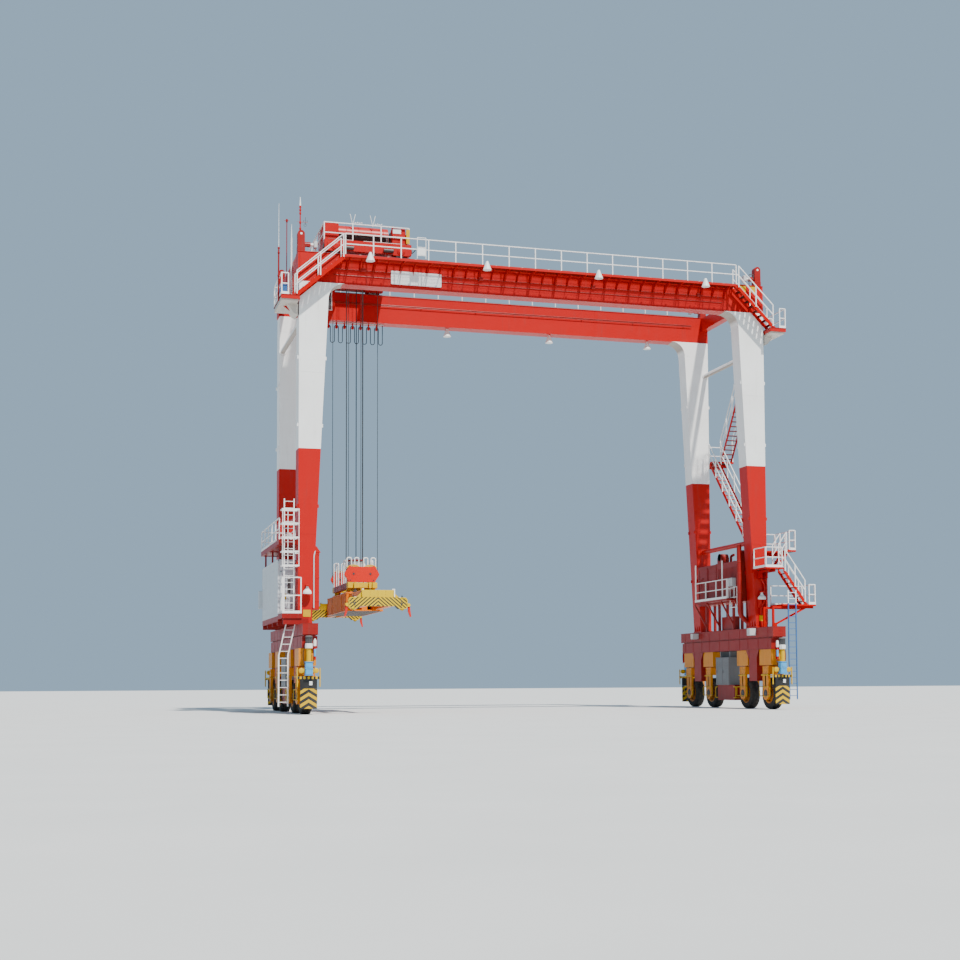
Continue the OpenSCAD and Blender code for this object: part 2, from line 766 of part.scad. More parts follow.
// Wind gauge and aerials above the left end
module masts() {
    x = end_deck_out;
    y = leg_front - 65;
    y_back = platform_end - 110;
    color("silver") at_portal() {
        rod([-x - 40, y, end_deck_z - 200], [-x - 40, y, girder_top + 200], 70);
        rod([-x - 40, y, girder_top + 200], [-x - 40, y, girder_top + 2150], 30);
        block([-x - 60, y - 20, end_deck_z - 160], [-x - seat, y + 20, end_deck_z - 20]);
        rod([-x + 600, y_back, end_deck_z + seat], [-x + 600, y_back, girder_top + 2050], 45);
        rod([-x + 830, y_back, end_deck_z + seat], [-x + 830, y_back, girder_top + 1830], 60);
        rod([-end_x + 150, -girder_y, girder_top + 880 + seat],
            [-end_x + 150, -girder_y, girder_top + 2710], 60);
        rod([-end_x - 150, -girder_y, girder_top + 1500], [-end_x + 450, -girder_y, girder_top + 1500], 40);
    }
}

// Half a turn of cable about the point x, z, turned by a: down for 180, up for 0
module cable_bow(x, z, r, a) {
    translate([x, 0, z]) rotate([90, 0, 0]) rotate([0, 0, a])
        rotate_extrude(angle = 180) translate([r, 0]) circle(d = festoon_d);
}

// Cable in hanging loops under the rear girder, from its knee to the trolley
module festoon_cable() {
    first = 100 - (leg_out - leg_head_w - knee_r);
    last = trolley_x + trolley_half;
    r = (last - first) / (4 * festoon_loops - 2);
    low = girder_bottom - festoon_drop + r;
    high = girder_bottom - 180 - r;
    held = girder_bottom - seat;
    color("dimgray") at_portal() translate([0, girder_y, 0]) {
        for (i = [0 : festoon_loops - 1]) {
            x = first + 4 * r * i;
            cable_bow(x + r, low, r, 180);
            rod([x, 0, low], [x, 0, i == 0 ? held : high], festoon_d);
            rod([x + 2 * r, 0, low], [x + 2 * r, 0, i == festoon_loops - 1 ? held : high], festoon_d);
        }
        for (i = [1 : festoon_loops - 1]) {
            cable_bow(first + 4 * r * i - r, high, r, 0);
        }
    }
}

// Heads under the sills, each with a blind bore for a fork's spindle
module slewing_heads() {
    color(orange) at_portal() for (s = sides, y = wheel_rows) at_side(s) translate([wheel_x, y,
        0]) difference() {
        block([-fork_half, -head_len / 2, slew_z + 5], [fork_half, head_len / 2, sill_bottom - seat]);
        translate([0, 0, slew_z]) cylinder(r = spindle_d / 2 + run_gap, h = 520);
    }
}

// Fork with its spindle above and the bores for the wheel's axle in the cheeks
module fork_body() {
    difference() {
        union() {
            block([-fork_half, -fork_w / 2, wheel_d + 150], [fork_half, fork_w / 2, slew_z]);
            for (s = sides) at_side(s) {
                block([fork_half - cheek_t, -fork_w / 2, axle_z], [fork_half, fork_w / 2, wheel_d + 150]);
                translate([fork_half - cheek_t, 0, axle_z]) rotate([0, 90, 0]) cylinder(d = fork_w,
                    h = cheek_t);
            }
            translate([0, 0, slew_z - 10]) cylinder(d = spindle_d, h = 510);
        }
        translate([-fork_half - 10, 0, axle_z]) rotate([0, 90, 0])
            cylinder(r = axle_d / 2 + run_gap, h = 2 * fork_half + 20);
    }
    for (s = sides) at_side(s) {
        rod([fork_half + 20, -fork_w / 2 - 60, slew_z - 480],
            [fork_half + 20, fork_w / 2 + 60, slew_z - 480], 70);
    }
}

// Drive unit and guard of an outer fork, drawn toward -Y
module drive_unit() {
    y = -fork_w / 2;
    motor_y = girder_y + wheel_base / 2 + sill_setback - sill_len / 2 - 320;
    guard_y = motor_y + 40;
    guard_z = wheel_d + 70;
    block([-180, motor_y, wheel_d + 150], [180, y, slew_z - 50]);
    block([-190, motor_y - 180, wheel_d + 150], [190, motor_y + 180, slew_z + 180]);
    translate([0, motor_y, slew_z + 180]) cylinder(d = 220, h = 620);
    translate([0, motor_y, slew_z + 800]) cylinder(d = 340, h = 560);
    for (s = sides) at_side(s) {
        rod([fork_half - 60, y + 20, guard_z], [510, guard_y, guard_z], 60);
        rod([510, guard_y, wheel_d - 350], [510, guard_y, slew_z - 100], 60);
        rod([330, guard_y - 60, slew_z - 220], [330, guard_y + 60, slew_z - 220], 240);
        block([180, guard_y - 50, slew_z - 300], [330, guard_y + 50, slew_z - 140]);
    }
    block([-540, guard_y - 30, wheel_d], [540, guard_y + 30, wheel_d + 120]);
    block([-380, guard_y - 20, 1170 - chevron_h], [380, guard_y + 20, wheel_d]);
}

// Fork number i of a side, turned so that the drive unit points away from the middle
module fork(side, i) {
    color(orange) at_portal() translate([side * wheel_x, wheel_rows[i - 1], 0]) {
        fork_body();
        if (i == 1) drive_unit();
        if (i == 4) scale([1, -1, 1]) drive_unit();
    }
}

module left_fork_1() {
    fork(-1, 1);
}

module left_fork_2() {
    fork(-1, 2);
}

module left_fork_3() {
    fork(-1, 3);
}

module left_fork_4() {
    fork(-1, 4);
}

module right_fork_1() {
    fork(1, 1);
}

module right_fork_2() {
    fork(1, 2);
}

module right_fork_3() {
    fork(1, 3);
}

module right_fork_4() {
    fork(1, 4);
}

// Tyre, rim and axle of wheel number i of a side
module wheel(side, i) {
    r = wheel_d / 2;
    half = tyre_w / 2;
    rim = r * 0.61;
    color("dimgray") at_portal() translate([side * wheel_x, wheel_rows[i - 1], axle_z]) rotate([0, 90, 0])
        rotate_extrude($fn = 96)
            polygon([[0, 5 - fork_half], [axle_d / 2, 5 - fork_half], [axle_d / 2, -half + 60],
                [rim - 40, -half + 60],
                [rim - 40, -half + 10], [rim + 30, -half], [r - 70, -half], [r, -half + 60],
                    [r, half - 60], [r - 70, half],
                [rim + 30, half], [rim - 40, half - 10], [rim - 40, half - 60], [axle_d / 2, half - 60],
                [axle_d / 2, fork_half - 5], [0, fork_half - 5]]);
}

module left_wheel_1() {
    wheel(-1, 1);
}

module left_wheel_2() {
    wheel(-1, 2);
}

module left_wheel_3() {
    wheel(-1, 3);
}

module left_wheel_4() {
    wheel(-1, 4);
}

module right_wheel_1() {
    wheel(1, 1);
}

module right_wheel_2() {
    wheel(1, 2);
}

module right_wheel_3() {
    wheel(1, 3);
}

module right_wheel_4() {
    wheel(1, 4);
}

// Moves a piece to the middle of the trolley
module at_trolley() {
    translate([portal_x + trolley_x, 0, 0]) children();
}

// End carriages over the rails, cross beams, deck round the rope well and the cabin's hangers
module trolley_frame() {
    low = rail_top + 110;
    beam_low = rail_top + 160;
    deck = low + 440;
    well_x = 1030;
    well_y = 2450;
    span = girder_y - 150;
    color(red) at_trolley() {
        for (s = sides) scale([1, s, 1]) {
            block([-trolley_half, span, low], [trolley_half, span + 60, low + 520]);
            block([-trolley_half, span + 240, low], [trolley_half, span + 300, low + 520]);
            block([-trolley_half, span, low + 470], [trolley_half, span + 300, low + 520]);
            for (x = [-trolley_half, trolley_half - 60]) {
                block([x, span, low], [x + 60, span + 300, low + 520]);
            }
            block([-well_x, well_y, deck - 40], [well_x, span, deck]);
            block([-well_x, well_y, beam_low], [well_x, well_y + 150, deck - 40]);
            at_side(s) block([well_x, -span, deck - 40], [trolley_half, span, deck]);
            at_side(s) block([well_x, -span, beam_low], [well_x + 200, span, deck - 40]);
            at_side(s) block([trolley_half - 200, -span, beam_low], [trolley_half, span, deck - 40]);
        }
        for (y = [-700, 700]) {
            block([-trolley_half, y - 60, cabin_z + cabin_h + seat],
                [-trolley_half + 160, y + 60, beam_low]);
            block([-well_x - 160, y - 60, cabin_z + cabin_h + seat], [-well_x, y + 60, beam_low]);
        }
    }
}

module trolley_wheels() {
    color("dimgray") at_trolley() for (s = sides, e = sides) {
        translate([s * (trolley_half - 520), e * girder_y,
            rail_top + 5 + trolley_wheel_d / 2]) rotate([90, 0, 0]) {
            cylinder(d = trolley_wheel_d, h = 110, center = true);
            cylinder(d = 120, h = 180 - 2 * seat, center = true);
        }
    }
}

// Two rope drums with gearboxes and motors on the trolley's deck
module hoist_machinery() {
    deck = rail_top + 550;
    color("slategray") at_trolley() for (s = sides) scale([1, s, 1]) {
        translate([-1120, drum_y, drum_z]) rotate([0, 90, 0]) cylinder(d = drum_d, h = 2240);
        for (x = [-1120, 1100]) {
            translate([x, drum_y, drum_z]) rotate([0, 90, 0]) cylinder(d = drum_d + 10, h = 20);
        }
        for (x = [-1270, 1130]) {
            block([x, drum_y - 160, deck + seat], [x + 140, drum_y + 160, drum_z + 120]);
        }
        rod([-1140, drum_y, drum_z], [1140, drum_y, drum_z], 160);
        block([1270, drum_y - 300, deck + seat], [1540, drum_y + 300, drum_z + 250]);
        rod([1540, drum_y, deck + 260], [2050, drum_y, deck + 260], 360);
        block([1560, drum_y - 150, deck + seat], [2020, drum_y + 150, deck + 120]);
    }
}

// Round cover over each drum and the two machinery boxes
module machinery_covers() {
    deck = rail_top + 550;
    r = drum_d / 2 + 130;
    color(red) at_trolley() {
        for (s = sides) scale([1, s, 1]) {
            translate([-1290, drum_y, drum_z]) rotate([0, 90, 0]) difference() {
                cylinder(r = r, h = 2440);
                translate([0, 0, -10]) cylinder(r = r - 15, h = 2460);
                translate([60, -r - 10, -10]) cube([r, 2 * r + 20, 2460]);
            }
            for (x = [-1290, 1140]) {
                block([x, drum_y + r - 15, deck + seat], [x + 10, drum_y + r, drum_z]);
                block([x, drum_y - r, deck + seat], [x + 10, drum_y - r + 15, drum_z]);
            }
        }
        block([100 - trolley_half, -2900, deck + seat], [-1310, -1100, deck + 1120]);
        block([trolley_half - 560, -3220, deck + seat], [trolley_half - 100, -2580, deck + 700]);
    }
}

module trolley_railing() {
    deck = rail_top + 550;
    x = trolley_half - 40;
    y = girder_y - 220;
    color(white) at_trolley() {
        rail_chain([[-x, -y, deck], [x, -y, deck], [x, y, deck], [-x, y, deck],
            [-x, post_t + 5 - y, deck]]);
    }
}

// Outline of the cabin in X and Z, d inside the outer face
module cabin_outline(d) {
    x = cabin_len / 2;
    polygon([[-x + d, d], [x - 380 - d * 0.7, d], [x - d, 1000 + d * 0.2], [x - d, cabin_h - d],
        [-x + d, cabin_h - d]]);
}

// Band along the sloping front of the cabin, from depth a to depth b, with its ends cut by m
module cabin_slope(a, b, m) {
    x = cabin_len / 2;
    v = [380, 1000] / norm([380, 1000]);
    n = [v[1], -v[0]];
    lo = [x - 380, 0] + v * (190 + m);
    hi = [x - 380, 0] + v * (990 - m);
    polygon([lo + n * a, hi + n * a, hi + n * b, lo + n * b]);
}

// Spreads an outline along Y over the half width h about the cabin's middle
module cabin_across(h) {
    translate([0, h, 0]) rotate([90, 0, 0]) linear_extrude(height = 2 * h) children();
}

// Operator's cabin: walls, floor and roof round a free room, with cut windows and a door leaf
module operator_cabin() {
    x = cabin_len / 2;
    y = cabin_w / 2;
    w = cabin_wall;
    color("firebrick") at_trolley() translate([cabin_x, 0, cabin_z]) {
        difference() {
            cabin_across(y) cabin_outline(0);
            cabin_across(y - w) cabin_outline(w);
            block([x - w - 10, 120 - y, 1080], [x + 10, y - 120, cabin_h - 150]);
            cabin_across(y - 120) cabin_slope(20, -w - 30, 0);
            block([180 - x, -y - 10, 950], [x - 160, y + 10, cabin_h - 150]);
            block([-x - 10, -350, w], [w - x + 10, 350, cabin_h - 110]);
        }
        block([10 - x, -347, w + seat], [w - 10 - x, 347, cabin_h - 113]);
    }
}

// Panes in the cabin's windows
module cabin_glazing() {
    x = cabin_len / 2;
    y = cabin_w / 2;
    g = seat;
    color("lightblue", 0.5) at_trolley() translate([cabin_x, 0, cabin_z]) {
        block([x - 40, 120 - y + g, 1080 + g], [x - 28, y - 120 - g, cabin_h - 150 - g]);
        cabin_across(y - 120 - g) cabin_slope(-28, -40, g);
        for (s = sides) scale([1, s, 1])
            block([180 - x + g, y - 40, 950 + g], [x - 160 - g, y - 28, cabin_h - 150 - g]);
    }
}

// Eight rope falls from the drums to the sheaves of the head block
module hoist_ropes() {
    r = sheave_d / 2;
    color("gray") at_trolley() for (s = sides, e = sides, f = sides) {
        rod([s * sheave_gap / 2 + f * r, e * block_y, sheave_z + seat],
            [s * sheave_gap / 2 + f * r, e * block_y, drum_z], rope_d);
    }
}

// Sheave with a groove that a rope of diameter rope_d lies in
module sheave() {
    r = sheave_d / 2;
    rotate([90, 0, 0]) rotate_extrude()
        polygon([[0, -60], [90, -60], [90, -45], [r + 25, -45], [r + 25, -35],
            [r - rope_d / 2 - seat, -rope_d / 2 - seat],
            [r - rope_d / 2 - seat, rope_d / 2 + seat], [r + 25, 35], [r + 25, 45], [90, 45],
                [90, 60], [0, 60]]);
}

// Sheaves between two pairs of six sided plates on a low frame
module head_block() {
    color("gold") at_trolley() {
        for (e = sides) translate([0, e * block_y, sheave_z]) {
            for (s = sides) translate([s * sheave_gap / 2, 0, 0]) sheave();
            for (f = sides) translate([0, f * 75 + 15, 0]) rotate([90, 0, 0]) linear_extrude(height = 30)
                polygon([[-850, -100], [-620, -390], [620, -390], [850, -100], [620, 390], [-620, 390]]);
            rod([-sheave_gap / 2, -95, 0], [-sheave_gap / 2, 95, 0], 110);
            rod([sheave_gap / 2, -95, 0], [sheave_gap / 2, 95, 0], 110);
            block([-640, -89, -420], [640, 89, -380]);
        }
        for (s = sides) at_side(s) {
            block([480, -block_y - 250, sheave_z - 700], [720, block_y + 250, sheave_z - 420]);
        }
        for (y = [-block_y, 0, block_y]) {
            block([-500, y - 150, sheave_z - 680], [500, y + 150, sheave_z - 420]);
        }
        for (s = sides, e = sides) {
            block([s * 600 - 90, e * 1700 - 90, frame_top + 110 + seat],
                [s * 600 + 90, e * 1700 + 90, sheave_z - 690]);
        }
        translate([0, -basket_d / 2 - 100, sheave_z - 430]) difference() {
            cylinder(d = basket_d, h = basket_h);
            translate([0, 0, 30]) cylinder(d = basket_d - 60, h = basket_h);
        }
    }
}

// Main box of the spreader with the four tunnels its telescopic beams slide in
module spreader_frame() {
    color("gold") at_trolley() {
        difference() {
            block([-frame_w, -frame_half, tube_z - 60], [frame_w, frame_half, frame_top]);
            for (s = sides, x = [inner_tube, outer_tube]) {
                block([s * x - tube_w / 2 - 6, -frame_half - 10, tube_z - seat],
                    [s * x + tube_w / 2 + 6, frame_half + 10, tube_z + tube_h + 6]);
            }
        }
        for (s = sides, e = sides) {
            block([s * 600 - 140, e * 1700 - 300, frame_top],
                [s * 600 + 140, e * 1700 + 300, frame_top + 110]);
        }
        block([-350, -900, frame_top], [350, 900, frame_top + 70]);
    }
}

// Telescope of the spreader toward -Y: end beam with the head plate of its two sliding beams,
// twistlocks and flipper lugs
module telescope(lane) {
    half = lock_w / 2 + 240;
    inner = -frame_half + 1500;
    x = half + flip_out;
    block([-half, -end_y - 110, beam_z], [half, 110 - end_y, beam_z + end_beam_h]);
    block([-750, -end_y - 60, beam_z + end_beam_h - 1], [750, 110 - end_y, tube_z + tube_h]);
    for (s = sides) {
        block([s * lane - tube_w / 2, 100 - end_y, tube_z],
            [s * lane + tube_w / 2, inner, tube_z + tube_h]);
        translate([s * lock_w / 2, -end_y, lock_z]) cylinder(d = 55, h = 110);
        at_side(s) for (e = sides) translate([0, e * 95 - end_y, 0]) difference() {
            block([half - 1, -15, flip_z - 80], [x + 60, 15, flip_z + 80]);
            translate([x, -20, flip_z]) rotate([-90, 0, 0]) cylinder(r = flip_pin / 2 + run_gap, h = 40);
        }
    }
}

module front_telescope() {
    color("gold") at_trolley() telescope(outer_tube);
}

module rear_telescope() {
    color("gold") at_trolley() scale([1, -1, 1]) telescope(inner_tube);
}

// Guide arm on a pin at a corner of the spreader
module flipper(side, end) {
    color("orangered") at_trolley() scale([side, end, 1]) translate([lock_w / 2 + 240 + flip_out,
        end_y, 0]) {
        rod([0, -108, flip_z], [0, 108, flip_z], flip_pin);
        rod([0, -72, flip_z], [0, 72, flip_z], 90);
        block([-15, -72, lock_z - 20], [15, 72, flip_z - 30]);
        beam([0, 0, lock_z], [70, 0, lock_z - 270], 130, 30);
    }
}

module left_front_flipper() {
    flipper(-1, -1);
}

module right_front_flipper() {
    flipper(1, -1);
}

module left_rear_flipper() {
    flipper(-1, 1);
}

module right_rear_flipper() {
    flipper(1, 1);
}

front_girder();
rear_girder();
girder_end_ties();
left_front_leg();
left_rear_leg();
right_front_leg();
right_rear_leg();
left_sill_beam();
right_sill_beam();
leg_tie_tubes();
trolley_rails();
end_stop_posts();
upper_walkways();
upper_railings();
upper_stairs();
right_stairs();
lower_railings();
ladders();
electrical_house();
house_frame();
engine_house();
engine_deck();
service_cabinets();
floodlights();
masts();
festoon_cable();
slewing_heads();
left_fork_1();
left_fork_2();
left_fork_3();
left_fork_4();
right_fork_1();
right_fork_2();
right_fork_3();
right_fork_4();
left_wheel_1();
left_wheel_2();
left_wheel_3();
left_wheel_4();
right_wheel_1();
right_wheel_2();
right_wheel_3();
right_wheel_4();
trolley_frame();
trolley_wheels();
hoist_machinery();
machinery_covers();
trolley_railing();
operator_cabin();
cabin_glazing();
hoist_ropes();
head_block();
spreader_frame();
front_telescope();
rear_telescope();
left_front_flipper();
right_front_flipper();
left_rear_flipper();
right_rear_flipper();
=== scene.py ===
import bpy
import bmesh
import math
from mathutils import Matrix, Vector


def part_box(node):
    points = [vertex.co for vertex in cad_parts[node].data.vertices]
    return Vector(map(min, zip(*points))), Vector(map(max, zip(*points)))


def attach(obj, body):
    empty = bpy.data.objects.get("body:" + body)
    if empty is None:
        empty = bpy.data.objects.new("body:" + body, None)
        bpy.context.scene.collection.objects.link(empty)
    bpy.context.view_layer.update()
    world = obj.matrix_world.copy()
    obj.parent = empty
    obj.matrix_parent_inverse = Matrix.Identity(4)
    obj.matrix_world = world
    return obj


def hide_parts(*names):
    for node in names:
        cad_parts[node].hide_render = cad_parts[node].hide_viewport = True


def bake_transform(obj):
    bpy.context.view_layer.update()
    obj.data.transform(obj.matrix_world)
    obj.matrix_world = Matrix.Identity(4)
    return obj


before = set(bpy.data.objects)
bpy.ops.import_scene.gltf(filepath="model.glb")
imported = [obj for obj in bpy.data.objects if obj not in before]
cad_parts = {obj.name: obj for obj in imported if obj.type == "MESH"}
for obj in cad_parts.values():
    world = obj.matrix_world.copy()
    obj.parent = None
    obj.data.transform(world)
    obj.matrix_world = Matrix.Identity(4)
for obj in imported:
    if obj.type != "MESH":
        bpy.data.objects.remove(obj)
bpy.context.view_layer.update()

girderLow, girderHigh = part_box("front_girder")
portalX = (girderLow.x + girderHigh.x) / 2
trolleyX = portalX - 8.6

# camera, light and floor
camera = {"spot": (portalX - 21.687, -72.195, 1.370), "yaw": 0.2842, "pitch": 0.0622, "roll": -0.0051,
          "lens": 55.29, "shift": (-0.0304, 0.1160)}


def makeCamera():
    yaw, pitch, roll = camera["yaw"], camera["pitch"], camera["roll"]
    ahead = Vector((math.sin(yaw) * math.cos(pitch), math.cos(yaw) * math.cos(pitch), math.sin(pitch)))
    right = Vector((math.cos(yaw), -math.sin(yaw), 0))
    over = right.cross(ahead)
    side = right * math.cos(roll) + over * math.sin(roll)
    top = over * math.cos(roll) - right * math.sin(roll)
    data = bpy.data.cameras.new("yardCamera")
    data.lens = camera["lens"]
    data.sensor_width = 36
    data.shift_x, data.shift_y = camera["shift"]
    data.clip_end = 2000
    obj = bpy.data.objects.new("yardCamera", data)
    turn = Matrix((side, top, -ahead)).transposed().to_4x4()
    obj.matrix_world = Matrix.Translation(camera["spot"]) @ turn
    bpy.context.scene.collection.objects.link(obj)
    bpy.context.scene.camera = obj


makeCamera()

light = {"sunYaw": 16, "sunHeight": 56, "sunPower": 6.9, "sunAngle": 2, "sky": (0.52, 0.76, 1.0),
         "skyPower": 0.62}


def makeLight():
    world = bpy.data.worlds.new("paleSky")
    bpy.context.scene.world = world
    world.use_nodes = True
    back = world.node_tree.nodes["Background"]
    back.inputs[0].default_value = (*light["sky"], 1)
    back.inputs[1].default_value = light["skyPower"]
    data = bpy.data.lights.new("softSun", "SUN")
    data.energy = light["sunPower"]
    data.angle = math.radians(light["sunAngle"])
    data.color = (1.0, 0.965, 0.9)
    obj = bpy.data.objects.new("softSun", data)
    a, h = math.radians(light["sunYaw"]), math.radians(light["sunHeight"])
    source = Vector((math.sin(a) * math.cos(h), -math.cos(a) * math.cos(h), math.sin(h)))
    obj.rotation_euler = source.to_track_quat("Z", "Y").to_euler()
    bpy.context.scene.collection.objects.link(obj)


makeLight()
print("camera and light ready")


# shader helpers
def addNode(tree, kind, inputs=None, **settings):
    made = tree.nodes.new(kind)
    for key, value in settings.items():
        setattr(made, key, value)
    for key, value in (inputs or {}).items():
        if isinstance(value, bpy.types.NodeSocket):
            tree.links.new(value, made.inputs[key])
        else:
            made.inputs[key].default_value = value
    return made


def maths(tree, how, a, b=0.0, clamp=False):
    made = addNode(tree, "ShaderNodeMath", operation=how, use_clamp=clamp)
    for i, value in enumerate((a, b)):
        if isinstance(value, bpy.types.NodeSocket):
            tree.links.new(value, made.inputs[i])
        else:
            made.inputs[i].default_value = value
    return made.outputs[0]


def mixColour(tree, amount, first, second, how="MIX"):
    made = addNode(tree, "ShaderNodeMix", data_type="RGBA", blend_type=how)
    for i, value in ((0, amount), (6, first), (7, second)):
        if isinstance(value, bpy.types.NodeSocket):
            tree.links.new(value, made.inputs[i])
        elif i == 0:
            made.inputs[i].default_value = value
        else:
            made.inputs[i].default_value = (*value[:3], 1)
    return made.outputs[2]


def band(tree, value, low, high):
    made = addNode(tree, "ShaderNodeMapRange", {"Value": value, "From Min": low, "From Max": high},
                   clamp=True)
    return made.outputs[0]


def place(tree):
    return addNode(tree, "ShaderNodeTexCoord").outputs["Object"]


def axes(tree, vector):
    return addNode(tree, "ShaderNodeSeparateXYZ", {"Vector": vector}).outputs


def normal(tree):
    return addNode(tree, "ShaderNodeNewGeometry").outputs["Normal"]


def times(tree, a, b, clamp=False):
    return maths(tree, "MULTIPLY", a, b, clamp)


def plus(tree, a, b, clamp=False):
    return maths(tree, "ADD", a, b, clamp)


def noise(tree, where, scale, detail=4.0, rough=0.55, stretch=(1, 1, 1)):
    moved = addNode(tree, "ShaderNodeMapping", {"Vector": where, "Scale": stretch})
    made = addNode(tree, "ShaderNodeTexNoise", {"Vector": moved.outputs[0], "Scale": scale, "Detail": detail,
                                                "Roughness": rough})
    return made.outputs["Fac"]


def makeWearGroup():
    tree = bpy.data.node_groups.new("weatheredPaint", "ShaderNodeTree")
    ask = tree.interface.new_socket
    for name, kind, value in (("Paint", "NodeSocketColor", (0.5, 0.02, 0.01, 1)),
                              ("Faded", "NodeSocketColor", (0.6, 0.1, 0.05, 1)),
                              ("Grime", "NodeSocketColor", (0.1, 0.07, 0.05, 1)),
                              ("Fade", "NodeSocketFloat", 0.3),
                              ("Streaks", "NodeSocketFloat", 0.3), ("Dust", "NodeSocketFloat", 0.3),
                              ("Rust", "NodeSocketFloat", 0.2), ("Grain", "NodeSocketFloat", 1.0)):
        ask(name=name, in_out="INPUT", socket_type=kind).default_value = value
    for name, kind in (("Color", "NodeSocketColor"), ("Roughness", "NodeSocketFloat"),
                       ("Height", "NodeSocketFloat")):
        ask(name=name, in_out="OUTPUT", socket_type=kind)
    given = addNode(tree, "NodeGroupInput").outputs
    where = place(tree)
    broad = band(tree, noise(tree, where, 0.55, 5), 0.38, 0.68)
    faded = mixColour(tree, times(tree, broad, given["Fade"]), given["Paint"], given["Faded"])
    runs = band(tree, noise(tree, where, 1.0, 6, 0.65, (6.5, 6.5, 0.32)), 0.52, 0.78)
    patch = band(tree, noise(tree, where, 0.8, 3), 0.42, 0.62)
    streak = times(tree, times(tree, runs, patch), given["Streaks"])
    stained = mixColour(tree, streak, faded, given["Grime"])
    bumpy = addNode(tree, "ShaderNodeBevel", {"Radius": 0.03}, samples=4).outputs[0]
    flat = normal(tree)
    meet = addNode(tree, "ShaderNodeVectorMath", operation="DOT_PRODUCT")
    tree.links.new(bumpy, meet.inputs[0])
    tree.links.new(flat, meet.inputs[1])
    edge = band(tree, maths(tree, "SUBTRACT", 1.0, meet.outputs["Value"]), 0.02, 0.16)
    spots = band(tree, noise(tree, where, 5.0, 8, 0.7), 0.60, 0.70)
    chips = band(tree, noise(tree, where, 16.0, 5, 0.6), 0.50, 0.58)
    worn = maths(tree, "MAXIMUM", times(tree, spots, chips), times(tree, edge, chips))
    rust = times(tree, worn, given["Rust"], True)
    rusty = mixColour(tree, rust, stained, (0.145, 0.048, 0.018))
    facing = axes(tree, flat)["Z"]
    lying = band(tree, facing, 0.55, 0.95)
    settled = times(tree, times(tree, lying, given["Dust"]),
                    band(tree, noise(tree, where, 3.0, 6), 0.25, 0.75))
    dusty = mixColour(tree, settled, rusty, (0.36, 0.33, 0.28))
    dull = plus(tree, times(tree, streak, 0.25), times(tree, rust, 0.4))
    dull = plus(tree, dull, times(tree, settled, 0.35))
    base = plus(tree, 0.36, times(tree, noise(tree, where, 2.3, 4), 0.18))
    fine = times(tree, noise(tree, where, 45.0, 3), 0.25)
    waves = times(tree, noise(tree, where, 1.6, 1), 1.4)
    high = times(tree, plus(tree, plus(tree, fine, waves), times(tree, rust, 0.3)), given["Grain"])
    addNode(tree, "NodeGroupOutput", {"Color": dusty, "Roughness": plus(tree, base, dull, True),
                                      "Height": high})
    return tree


wearGroup = makeWearGroup()

paintKeys = ("Paint", "Faded", "Grime", "Fade", "Streaks", "Dust", "Rust")
plainGrime = (0.09, 0.065, 0.05)
paintValues = {
    "craneRed": ((0.46, 0.002, 0.001), (0.46, 0.006, 0.003), None, 0.4, 0.38, 0.15, 0.35),
    "shadeRed": ((0.26, 0.005, 0.004), (0.32, 0.018, 0.012), None, 0.45, 0.62, 0.5, 0.5),
    "postRed": ((0.3, 0.004, 0.003), (0.34, 0.014, 0.01), None, 0.45, 0.5, 0.4, 0.4),
    "legWhite": ((0.88, 0.88, 0.87), (0.72, 0.71, 0.68), (0.42, 0.38, 0.33), 0.35, 0.3, 0.3, 0.3),
    "railWhite": ((0.84, 0.84, 0.83), (0.7, 0.69, 0.66), (0.4, 0.34, 0.28), 0.3, 0.25, 0.2, 0.55),
    "panelGrey": ((0.55, 0.59, 0.63), (0.62, 0.64, 0.66), (0.25, 0.22, 0.19), 0.35, 0.35, 0.4, 0.25),
    # cabinetGrey is darkened to about half its grey: painted shade
    "cabinetGrey": ((0.15, 0.155, 0.165), (0.21, 0.21, 0.21), None, 0.4, 0.5, 0.5, 0.5),
    "zincGrey": ((0.5, 0.51, 0.52), (0.62, 0.62, 0.61), (0.24, 0.2, 0.16), 0.6, 0.35, 0.3, 0.45),
    "bogieOrange": ((0.66, 0.215, 0.0015), (0.64, 0.27, 0.015), None, 0.45, 0.55, 0.45, 0.6),
    "guardYellow": ((0.62, 0.37, 0.0), (0.6, 0.38, 0.004), None, 0.3, 0.3, 0.1, 0.45),
    "spreaderYellow": ((0.66, 0.44, 0.0), (0.62, 0.42, 0.004), None, 0.3, 0.3, 0.08, 0.65),
    # saturated orange standing in for the spreader's yellow seen in shade: painted shade; its grime and rust
    # are real dirt
    "paintedShadeOrange": ((0.74, 0.17, 0.001), (0.6, 0.17, 0.006), (0.12, 0.045, 0.02), 0.5, 0.6, 0.15, 0.9),
    "plateScarlet": ((0.62, 0.01, 0.002), (0.6, 0.025, 0.008), None, 0.35, 0.3, 0.25, 0.4),
    "driveBlue": ((0.06, 0.34, 0.66), (0.18, 0.42, 0.62), None, 0.4, 0.45, 0.4, 0.35),
    "motorGrey": ((0.06, 0.063, 0.068), (0.18, 0.18, 0.18), None, 0.5, 0.4, 0.5, 0.3),
    "lampWhite": ((0.8, 0.8, 0.78), (0.66, 0.65, 0.62), (0.3, 0.26, 0.22), 0.35, 0.3, 0.3, 0.2),
    "flapBlack": ((0.018, 0.018, 0.019), (0.06, 0.058, 0.055), (0.16, 0.14, 0.12), 0.5, 0.4, 0.5, 0.0),
    "cabinBlue": ((0.03, 0.12, 0.34), (0.1, 0.2, 0.38), None, 0.4, 0.4, 0.4, 0.3),
    "soffitGrey": ((0.5, 0.46, 0.41), (0.6, 0.56, 0.5), (0.2, 0.16, 0.13), 0.5, 0.5, 0.2, 0.6),
    "machineDark": ((0.055, 0.05, 0.05), (0.11, 0.1, 0.095), (0.03, 0.025, 0.02), 0.5, 0.5, 0.4, 0.5),
}
paints = {}


